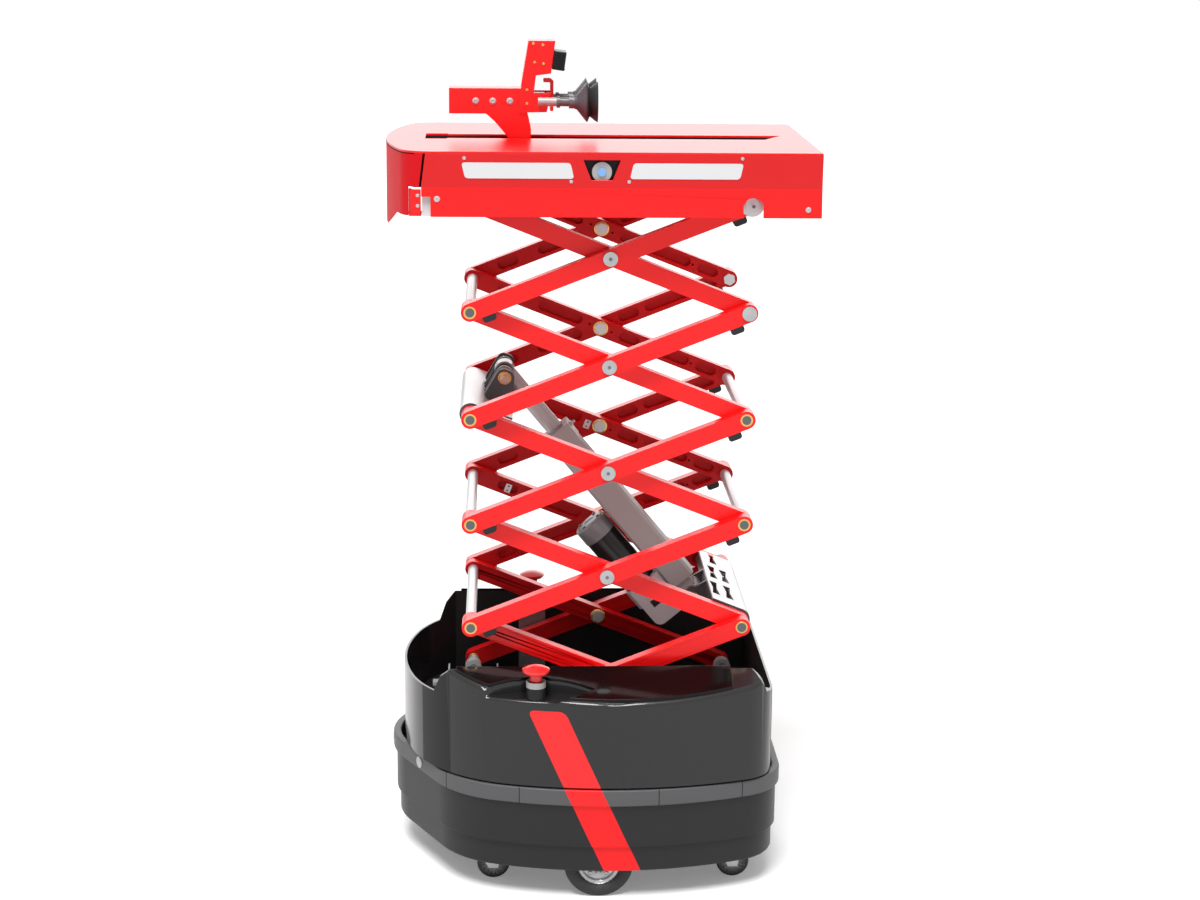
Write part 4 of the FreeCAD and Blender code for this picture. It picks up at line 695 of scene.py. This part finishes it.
dress([f"pivot_shafts_{stage}" for stage in range(1, STAGES + 1)], zinc, 0.0006, 2, (tube_zinc, pin_grey),
      shaft_finish)
bearing_pale = finish("bearing_pale", (0.62, 0.62, 0.63), 0.34, metal=0.2, grain=700, depth=0.01, tone=0.08)
dress(["lift_mounts", "lower_slider", "upper_rollers"], bearing_pale, 0.0006, 2, (pin_grey,),
      lambda centre, normal: 1 if abs(centre.y) > OUTER_SKIN - 0.0006 or abs(centre.y) < 0.1 else 0)
# Painted shade: a dark grey disc on each bolt head stands for the shade in its dimple.
dimple_shade_grey = finish("dimple_shade_grey", (0.16, 0.16, 0.165), 0.5, shine=0.3)
DIMPLE = [(-0.5, 0), (-0.5, 2.6), (0.12, 2.6), (0.12, 0)]


def head_centres(node, pivot):
    """The middles of the two bolt heads that a node shows outside the arms, on a pivot's line."""
    return [((pivot.x * 1000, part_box(node)[end][1] * 1000, pivot.z * 1000), (0, side, 0), 1.0)
            for end, side in ((0, -1), (1, 1))]


for stage in range(STAGES):
    scatter(f"bolt_dimples_{stage + 1}", DIMPLE, head_centres(f"pivot_shafts_{stage + 1}", middles[stage]),
            dimple_shade_grey, f"inner_arms_stage_{stage + 1}", 16)
scatter("hinge_dimples", DIMPLE, head_centres("deck_brackets", pivots[-1]), dimple_shade_grey, "deck",
        16)

# A brass washer under each nut on the arms' inner faces.
WASHER = [(-0.1, 7), (-0.1, 11.6), (0.9, 11.6), (1.3, 11.0), (1.3, 7)]
for stage in range(STAGES):
    middle = middles[stage] * 1000
    spots = [((middle.x, side * (INNER_FACE * 1000 - 0.2), middle.z), (0, -side, 0), 1.0) for side in (-1, 1)]
    scatter(f"nut_washers_{stage + 1}", WASHER, spots, brass, f"inner_arms_stage_{stage + 1}",
            28)

# Small zinc clips on the inner faces of the far arms, each riveted through two holes.
LEAN = math.atan2(RISE / 2, RIGHT.x - MIDDLE.x)


def arm_place(stage):
    """The frame of a stage's inner arms: along the arm, off it, and towards the near side."""
    ahead, off = (math.cos(LEAN), 0, -math.sin(LEAN)), (math.sin(LEAN), 0, math.cos(LEAN))
    turn = Matrix((ahead, off, (0, -1, 0))).transposed().to_4x4()
    return Matrix.Translation(middles[stage - 1] * 1000) @ turn


for stage, along, off in ((3, -19.8, -4.4), (2, -155, -1)):
    clip = bmesh.new()
    outline = rounded([(along - 5, off - 7), (along + 5, off - 7), (along + 5, off + 7),
                       (along - 5, off + 7)], 1.5)
    holes = [circle(along, off - 3.6, 1.5, 12), circle(along, off + 3.6, 1.5, 12)]
    plate(clip, [outline] + holes, -INNER_FACE * 1000, -INNER_FACE * 1000 + 1.2, arm_place(stage))
    made(f"arm_clip_{stage}", clip, f"inner_arms_stage_{stage}", "zinc_steel", [tube_zinc], edge=0.0002)

# ---------------------------------------------------------------- actuator
# The taupe aluminium tube with its gearbox, round rod and black motor, between two brackets of
# folded zinc sheet with dark welded ears and brass-bushed pins.
taupe = finish("taupe", (0.40, 0.375, 0.37), 0.45, metal=0.1, grain=900, depth=0.01, shine=0.25)
rod_grey = finish("rod_grey", (0.42, 0.40, 0.40), 0.3, metal=0.35, grain=900, depth=0.006, stretch=(6, 1, 6))
gearbox_grey = finish("gearbox_grey", (0.50, 0.47, 0.48), 0.42, metal=0.1, grain=900, depth=0.01, shine=0.3)
motor_black = finish("motor_black", (0.006, 0.006, 0.006), 0.3)
ear_grey = finish("ear_grey", (0.075, 0.072, 0.076), 0.38, metal=0.3, grain=900, depth=0.01)
pale_ear = finish("pale_ear", (0.36, 0.32, 0.34), 0.4, metal=0.2, grain=900, depth=0.01)
LOW_PIN = Vector(joints["actuator_clevis"]["pos_m"])
STROKE = Vector(joints["actuator_stroke"]["axis"]).normalized()
dress(["actuator_tube"], taupe)
dress(["actuator_rod"], rod_grey)
# The direction from the tube to the motor beside it, and the square port in the housing's sides.
BESIDE = Vector((-STROKE.z, 0, STROKE.x))
PORT, PORT_REACH, HOUSING_SKIN = LOW_PIN + STROKE * 0.0285 + BESIDE * 0.053, 0.009, 0.0279


def housing_finish(centre, normal):
    """The ports' recesses are painted black, as painted shade inside them."""
    return 1 if near_any(centre, [PORT], PORT_REACH) and abs(centre.y) < HOUSING_SKIN else 0


dress(["actuator_gearbox"], gearbox_grey, 0.0012, 2, (motor_black,), housing_finish)
cap_grey = finish("cap_grey", (0.20, 0.205, 0.21), 0.34, metal=0.3, grain=900, depth=0.01)
MOTOR_START, MOTOR_OFF, MOTOR_RADIUS, MOTOR_CAP, MOTOR_END = 64.2, 53, 26, 160, 188
LOW_MM = LOW_PIN * 1000
motor_axis = LOW_MM + BESIDE * MOTOR_OFF
motor = bmesh.new()
lathe(motor, [(MOTOR_START, 0), (MOTOR_START, MOTOR_RADIUS), (MOTOR_CAP - 1.2, MOTOR_RADIUS),
              (MOTOR_CAP - 1.2, MOTOR_RADIUS - 1.5), (MOTOR_CAP, MOTOR_RADIUS - 1.5)], motor_axis, STROKE, 48)
lathe(motor, [(MOTOR_CAP, MOTOR_RADIUS - 1.5), (MOTOR_CAP, MOTOR_RADIUS + 0.9),
              (MOTOR_END - 5, MOTOR_RADIUS + 0.9), (MOTOR_END - 2.2, MOTOR_RADIUS),
              (MOTOR_END - 0.6, MOTOR_RADIUS - 2.6), (MOTOR_END, MOTOR_RADIUS - 6), (MOTOR_END, 9),
              (MOTOR_END - 1, 8.4), (MOTOR_END - 1, 0)], motor_axis, STROKE, 48, 1)
TIE_RODS, TIE_ROD_RING = 4, 19.5
ACROSS = Vector((0, 1, 0))
for n in range(TIE_RODS):
    turn = math.tau * (n + 0.35) / TIE_RODS
    foot = motor_axis + BESIDE * TIE_ROD_RING * math.cos(turn) + ACROSS * TIE_ROD_RING * math.sin(turn)
    lathe(motor, [(MOTOR_END - 1.5, 0), (MOTOR_END - 1.5, 2.6), (MOTOR_END + 1.2, 2.6),
                  (MOTOR_END + 1.8, 1.9), (MOTOR_END + 1.8, 0)], foot, STROKE, 12, 2)
terminal = motor_axis - BESIDE * 24 - ACROSS * 9
lathe(motor, [(MOTOR_END - 4, 0), (MOTOR_END - 4, 1.8), (MOTOR_END + 5, 1.8), (MOTOR_END + 6, 1.1),
              (MOTOR_END + 6, 0)], terminal, STROKE, 12, 3)
made("actuator_motor_turned", motor, "actuator_cylinder", "motor_black",
     [motor_black, cap_grey, pin_grey, brass], ("actuator_motor",))
# The brackets' pins, and the levels where their ears leave the plates, off the arms' middle line.
HIGH_EYE, LOW_EYE, UPPER_PLATE, LOWER_PLATE = (-183, 55), (157, -16), 16.7, -12.6
PIN_REACH, PALE_EARS = 6.4, 30


def bracket_finish(stage, level, pin):
    """Ears stand above the plate's level; a pin's facets lie within its reach; cut edges are dark."""
    place = arm_place(stage).inverted()

    def pick(centre, normal):
        along, off, near = place @ (centre * 1000)
        if math.hypot(along - pin[0], off - pin[1]) < PIN_REACH:
            return 3
        if (off > level if level > 0 else off < -level):
            return 2 if near > PALE_EARS else 1
        return 4 if abs(normal.y) > 0.9 else 0
    return pick


cut_edge = finish("cut_edge", (0.10, 0.10, 0.105), 0.4, metal=0.3, grain=900, depth=0.01)
dress(["upper_bracket"], tube_zinc, 0.0006, 2, (ear_grey, pale_ear, brass, cut_edge),
      bracket_finish(3, UPPER_PLATE, HIGH_EYE))
dress(["lower_bracket"], tube_zinc, 0.0006, 2, (ear_grey, ear_grey, brass, cut_edge),
      bracket_finish(2, LOWER_PLATE, LOW_EYE))

# The head where the rod leaves the tube, with one bolt beside it.
HEAD_START, HEAD_END, HEAD_HALF, HEAD_WIDE = 311.9, 332.5, 22.5, 25.5
head_place = Matrix.Translation(LOW_MM) @ Matrix((BESIDE, (0, 1, 0), STROKE)).transposed().to_4x4()
rod_head = bmesh.new()
head_outline = rounded([(-HEAD_HALF, -HEAD_WIDE), (HEAD_HALF, -HEAD_WIDE), (HEAD_HALF, HEAD_WIDE),
                        (-HEAD_HALF, HEAD_WIDE)], 4)
plate(rod_head, [head_outline, circle(0, 0, 13.3, 40)], HEAD_START, HEAD_END, head_place)
HEAD_BOLT = [(0, 0), (0, 4.2), (3.4, 4.2), (3.8, 2.2), (8, 2.2), (8.4, 1.6), (8.4, 0)]
lathe(rod_head, HEAD_BOLT, LOW_MM + STROKE * 324 - BESIDE * 22.4, -BESIDE, 6, 1)
made("rod_head", rod_head, "actuator_cylinder", "grey_aluminium", [taupe, zinc], edge=0.0005)

# Each side's outer ear, and the split pin: steel shoulders and brass bushes out from the rod's eye.
# A band has its start, its end, its radius and its finish.
PIN_BANDS = ((13.0, 14.4, 10.5, 1), (18.6, 20.2, 8.6, 1), (20.2, 24.5, 7.6, 0), (24.5, 27.0, 9.4, 1),
             (27.0, 33.8, 7.6, 0), (38.1, 39.8, 9.6, 1), (39.8, 57.0, 6.8, 0), (57.0, 58.6, 9.6, 1),
             (58.6, 61.1, 7.6, 0), (64.9, 66.8, 9.8, 1), (66.8, 74.0, 6.6, 2), (74.0, 79.0, 5.2, 2))
EAR_OUTLINE = [(-203, 16.4), (-157, 16.4), (-171.5, 68), (-194.5, 68)]
outer_ears = bmesh.new()
for first, last in ((61, 65), (-65, -61)):
    plate(outer_ears, [rounded(EAR_OUTLINE, 10)], first, last, arm_place(3))
made("outer_ears", outer_ears, "inner_arms_stage_3", "zinc_steel", [ear_grey], edge=0.0004)
upper_pin = bmesh.new()
eye_place = arm_place(3) @ Vector((*HIGH_EYE, 0))
for side in (-1, 1):
    for first, last, radius, paint in PIN_BANDS:
        lathe(upper_pin, [(first, 0), (first, radius - 0.4), (first + 0.4, radius), (last - 0.4, radius),
                          (last, radius - 0.4), (last, 0)], eye_place, (0, side, 0), 28, paint)
pale_brass = finish("pale_brass", (0.72, 0.52, 0.42), 0.3, metal=0.6, grain=500, depth=0.01)
made("rod_eye_bushes", upper_pin, "inner_arms_stage_3", "brass_bush", [ear_grey, brass, pale_brass])

# ---------------------------------------------------------------- deck
# Folded red sheet: the slotted top, two side skirts with white light strips and a camera each,
# the nose wrap and the tail panel, with two hinge lugs and two roller channels under it.
dress(["deck_plate"], red_coat, 0.0022, 3)
# Painted shade: the skirts' faces above the fold get a darker red than the rest of the red sheet.
skirt_band_shade_red = finish("skirt_band_shade_red", (0.70, 0.006, 0.008), 0.4, grain=1100, depth=0.02, tone=0.04, coat=0.12,
                   coat_roughness=0.2, shine=0.3)
FOLD_HEIGHT = (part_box("deck_plate")[1][2] * 1000 - 50) / 1000
dress(["deck_skirts"], red_coat, 0.0006, 1, (skirt_band_shade_red,),
      lambda centre, normal: 1 if centre.z > FOLD_HEIGHT and abs(normal.y) > 0.9 else 0, flat=True)
# Painted shade: the nose wrap gets a darker, duller red than the deck's coat.
wrap_shade_red = finish("wrap_shade_red", (0.66, 0.006, 0.012), 0.55, grain=1100, depth=0.02, tone=0.04, shine=0.12)
BRACKET_START, BRACKET_TOP = -0.2699, 1.0435


def nose_finish(centre, normal):
    """The faces of the small brackets behind the wrap keep the deck's red; the wrap is painted a darker red
    as painted shade.
    """
    return 1 if centre.x > BRACKET_START and centre.z < BRACKET_TOP and abs(normal.y) > 0.5 else 0


dress(["nose_wrap"], wrap_shade_red, 0.0002, 1, (red_coat,), nose_finish)
LUG_REACH, LUG_FACE, HEAD_DEPTH = 0.02, 0.177, 0.0038
HEAD_Y = -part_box("deck_brackets")[0][1] - HEAD_DEPTH


def lug_finish(centre, normal):
    """Pale lugs with zinc bolt heads by the hinge, and plain black, as painted shade, for all that the deck
    hides.
    """
    if abs(centre.x - RIGHT.x) > LUG_REACH or abs(centre.y) < LUG_FACE:
        return 1
    return 2 if abs(centre.y) > HEAD_Y else 0


dress(["deck_brackets"], tube_zinc, 0.0006, 2, (frame_black, zinc), lug_finish)
camera_black = finish("camera_black", (0.006, 0.006, 0.0065), 0.4, shine=0.25)
ring_grey = finish("ring_grey", (0.42, 0.42, 0.42), 0.35)
lens_blue = finish("lens_blue", (0.16, 0.40, 0.80), 0.08, coat=1.0, coat_roughness=0.02, depth=0.0)
DECK_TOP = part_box("deck_plate")[1][2] * 1000
SKIRT_Y = -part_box("deck_plate")[0][1] * 1000
lens_middle = Vector((0, 0, (DECK_TOP - 28) / 1000))
RING_RADIUS, LENS_RADIUS = 0.0145, 0.0063


def camera_finish(centre, normal):
    """A blue lens in a grey ring, in a black housing."""
    if abs(centre.y) < 0.2 or not near_any(centre, [lens_middle], RING_RADIUS):
        return 0
    return 2 if near_any(centre, [lens_middle], LENS_RADIUS) else 1


dress(["side_cameras"], camera_black, 0.0004, 2, (ring_grey, lens_blue), camera_finish)
strip_white = finish("strip_white", (0.72, 0.72, 0.73), 0.35, grain=1500, depth=0.004, tone=0.02)
FLANK = {-1: Matrix(((1, 0, 0, 0), (0, 0, -1, 0), (0, 1, 0, 0), (0, 0, 0, 1))),
         1: Matrix(((1, 0, 0, 0), (0, 0, 1, 0), (0, 1, 0, 0), (0, 0, 0, 1)))}
STRIP_LOW, STRIP_HIGH = DECK_TOP - 37, DECK_TOP - 15
GUARD_LOW, GUARD_HIGH = DECK_TOP - 91, DECK_TOP - 60
for side, word in ((-1, "near"), (1, "far")):
    strips = bmesh.new()
    for top_start, low_start, low_end, top_end in ((-196, -191, -39, -44), (44, 39, 193, 198)):
        outline = rounded([(low_start, STRIP_LOW), (low_end, STRIP_LOW), (top_end, STRIP_HIGH),
                           (top_start, STRIP_HIGH)], 5)
        plate(strips, [outline], SKIRT_Y - 0.5, SKIRT_Y + 0.7, FLANK[side])
    made(f"light_strips_{word}", strips, "deck", "collar_grey", [strip_white], edge=0.0003)
    outline = rounded([(-251, GUARD_LOW), (-238, GUARD_LOW), (-238, GUARD_HIGH), (-251, GUARD_HIGH)], 0.5, 1)
    guard = plate(bmesh.new(), [outline], SKIRT_Y - 9, SKIRT_Y - 6, FLANK[side])
    made(f"notch_guard_{word}", guard, "deck", "zinc_steel", [strip_white])

# A dark joint runs under the deck's edge round the nose, and a folded tongue closes the slanted gap between
# the wrap and each side skirt; the tongue is near-black as painted shade in the gap.
joint_and_shade_dark = finish("joint_and_shade_dark", (0.03, 0.001, 0.001), 0.6, shine=0.1)
UNDER_SHEET = DECK_TOP - 3
edge_line = bmesh.new()
WRAP_REACH, WRAP_STEPS = 210, 60
ribbon = []
for n in range(WRAP_STEPS + 1):
    y = -WRAP_REACH + 2 * WRAP_REACH * n / WRAP_STEPS
    place, normal = strike("nose_wrap", (-500, y, UNDER_SHEET - 3), (1, 0, 0))
    out = Vector((normal.x, normal.y, 0)).normalized() * 0.2
    ribbon.append([edge_line.verts.new((place.x + out.x, place.y + out.y, UNDER_SHEET - drop))
                   for drop in (1.5, 0.1)])
for first, second in zip(ribbon, ribbon[1:]):
    edge_line.faces.new([first[0], first[1], second[1], second[0]])
edge_piece = made("nose_edge_joint", edge_line, "deck", "frame_steel", [joint_and_shade_dark])
wall = edge_piece.modifiers.new("wall", "SOLIDIFY")
wall.thickness = 0.0006
wall.offset = 0
for side, word in ((-1, "near"), (1, "far")):
    tongue = plate(bmesh.new(), [[(-264, DECK_TOP - 51), (-244, DECK_TOP - 51), (-236, DECK_TOP - 4),
                                  (-258, DECK_TOP - 4)]], SKIRT_Y - 11, SKIRT_Y - 9.5, FLANK[side])
    made(f"seam_tongue_{word}", tongue, "deck", "red_powder_coat", [joint_and_shade_dark])

# Dome-headed screws with a small socket. A row has an x, a drop from the deck's top, a size and a sheet.
SCREW = [(-0.6, 0), (-0.6, 2.5), (0.4, 2.5), (1.2, 1.9), (1.4, 1.2), (0.7, 1.0), (0.7, 0)]
spots = []
for side in (-1, 1):
    for x, drop, size, node in ((-192, 9, 1.0, "deck_skirts"), (-43, 41, 1.0, "deck_skirts"),
                                (38, 41, 1.0, "deck_skirts"), (196, 8, 1.0, "deck_skirts"),
                                (-230, 66, 1.75, "deck_skirts"), (290, 79, 1.6, "deck_skirts"),
                                (-257, 61.5, 1.0, "nose_wrap"), (-257, 76, 1.0, "nose_wrap")):
        place, normal = strike(node, (x, side * 400, DECK_TOP - drop), (0, -side, 0))
        spots.append((place, normal, size))
scatter("deck_screws", SCREW, spots, tube_zinc, "deck")

# ---------------------------------------------------------------- gripper
# The red sheet carriage bolted together at its sides, its riveted mast and ribbed camera, and
# the grey vacuum pipes that end in two bellows cups of soft rubber.
dress(["carriage_channel", "camera_mast"], red_coat, 0.0008)
dress(["head_camera"], camera_black, 0.0012)
cup_rubber = finish("cup_rubber", (0.10, 0.095, 0.11), 0.42)
lip_rubber = finish("lip_rubber", (0.02, 0.02, 0.021), 0.5)
stem_grey = finish("stem_grey", (0.15, 0.145, 0.15), 0.35, metal=0.2, grain=900, depth=0.008)
stub_pale = finish("stub_pale", (0.46, 0.42, 0.42), 0.35, metal=0.2, grain=900, depth=0.008)
STUB_END, LIP_START = -0.064, -0.017
dress(["suction_pipes"], stem_grey, 0.0006, 2, (stub_pale,),
      lambda centre, normal: 1 if centre.x < STUB_END else 0)
dress(["suction_cups"], cup_rubber, 0.0004, 1, (lip_rubber,),
      lambda centre, normal: 1 if centre.x > LIP_START else 0)
spots = []
for side in (-1, 1):
    for x in (-178, -153, -128):
        place, normal = strike("carriage_channel", (x, side * 100, DECK_TOP + 53.5), (0, -side, 0))
        spots.append((place, normal, 2.0))
scatter("carriage_bolts", SCREW, spots, tube_zinc, "gripper_carriage")
# The hook strip that guards the manifold: a folded red strap between the mast's cheeks.
HOOK = [(-79, DECK_TOP + 86), (-79, DECK_TOP + 80), (-69, DECK_TOP + 80), (-69, DECK_TOP + 38),
        (-64, DECK_TOP + 38), (-64, DECK_TOP + 82), (-68, DECK_TOP + 86)]
hook = plate(bmesh.new(), [rounded(HOOK, 1.5, 3)], -7, 7, FLANK[-1])
made("manifold_hook", hook, "gripper_carriage", "red_powder_coat", [red_coat], edge=0.0004)
# Cooling ribs round the head camera.
CAMERA_LOW, CAMERA_HIGH = (Vector(corner) * 1000 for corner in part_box("head_camera"))
TILT = Matrix.Rotation(math.radians(8), 4, "Y")
RIBS, RIB_PITCH = 6, 4.2
ribs = bmesh.new()
for n in range(RIBS):
    rib_z = CAMERA_HIGH.z - 5 - RIB_PITCH * n
    middle = Matrix.Translation(((CAMERA_LOW.x + CAMERA_HIGH.x) / 2, 0, rib_z)) @ TILT
    half_x, half_y = 8.2, (CAMERA_HIGH.y - CAMERA_LOW.y) / 2 + 1
    plate(ribs, [rounded([(-half_x, -half_y), (half_x, -half_y), (half_x, half_y), (-half_x, half_y)], 2)],
          -0.8, 0.8, middle)
made("camera_ribs", ribs, "gripper_carriage", "camera_black", [camera_black], edge=0.0002)
# Brass rivets up the mast's two cheeks.
spots = []
for side in (-1, 1):
    for x, rise in ((-94, 137), (-80, 135), (-92, 110), (-79, 108), (-103, 70), (-103, 50)):
        start = Vector((x, side * 100, DECK_TOP + rise)) / 1000
        found, place, normal, face = nodes["camera_mast"].ray_cast(start, Vector((0, -side, 0)))
        if found and abs(place.y) > 0.02:
            spots.append((place * 1000, normal, 0.9))
scatter("mast_rivets", SCREW, spots, brass, "gripper_carriage")
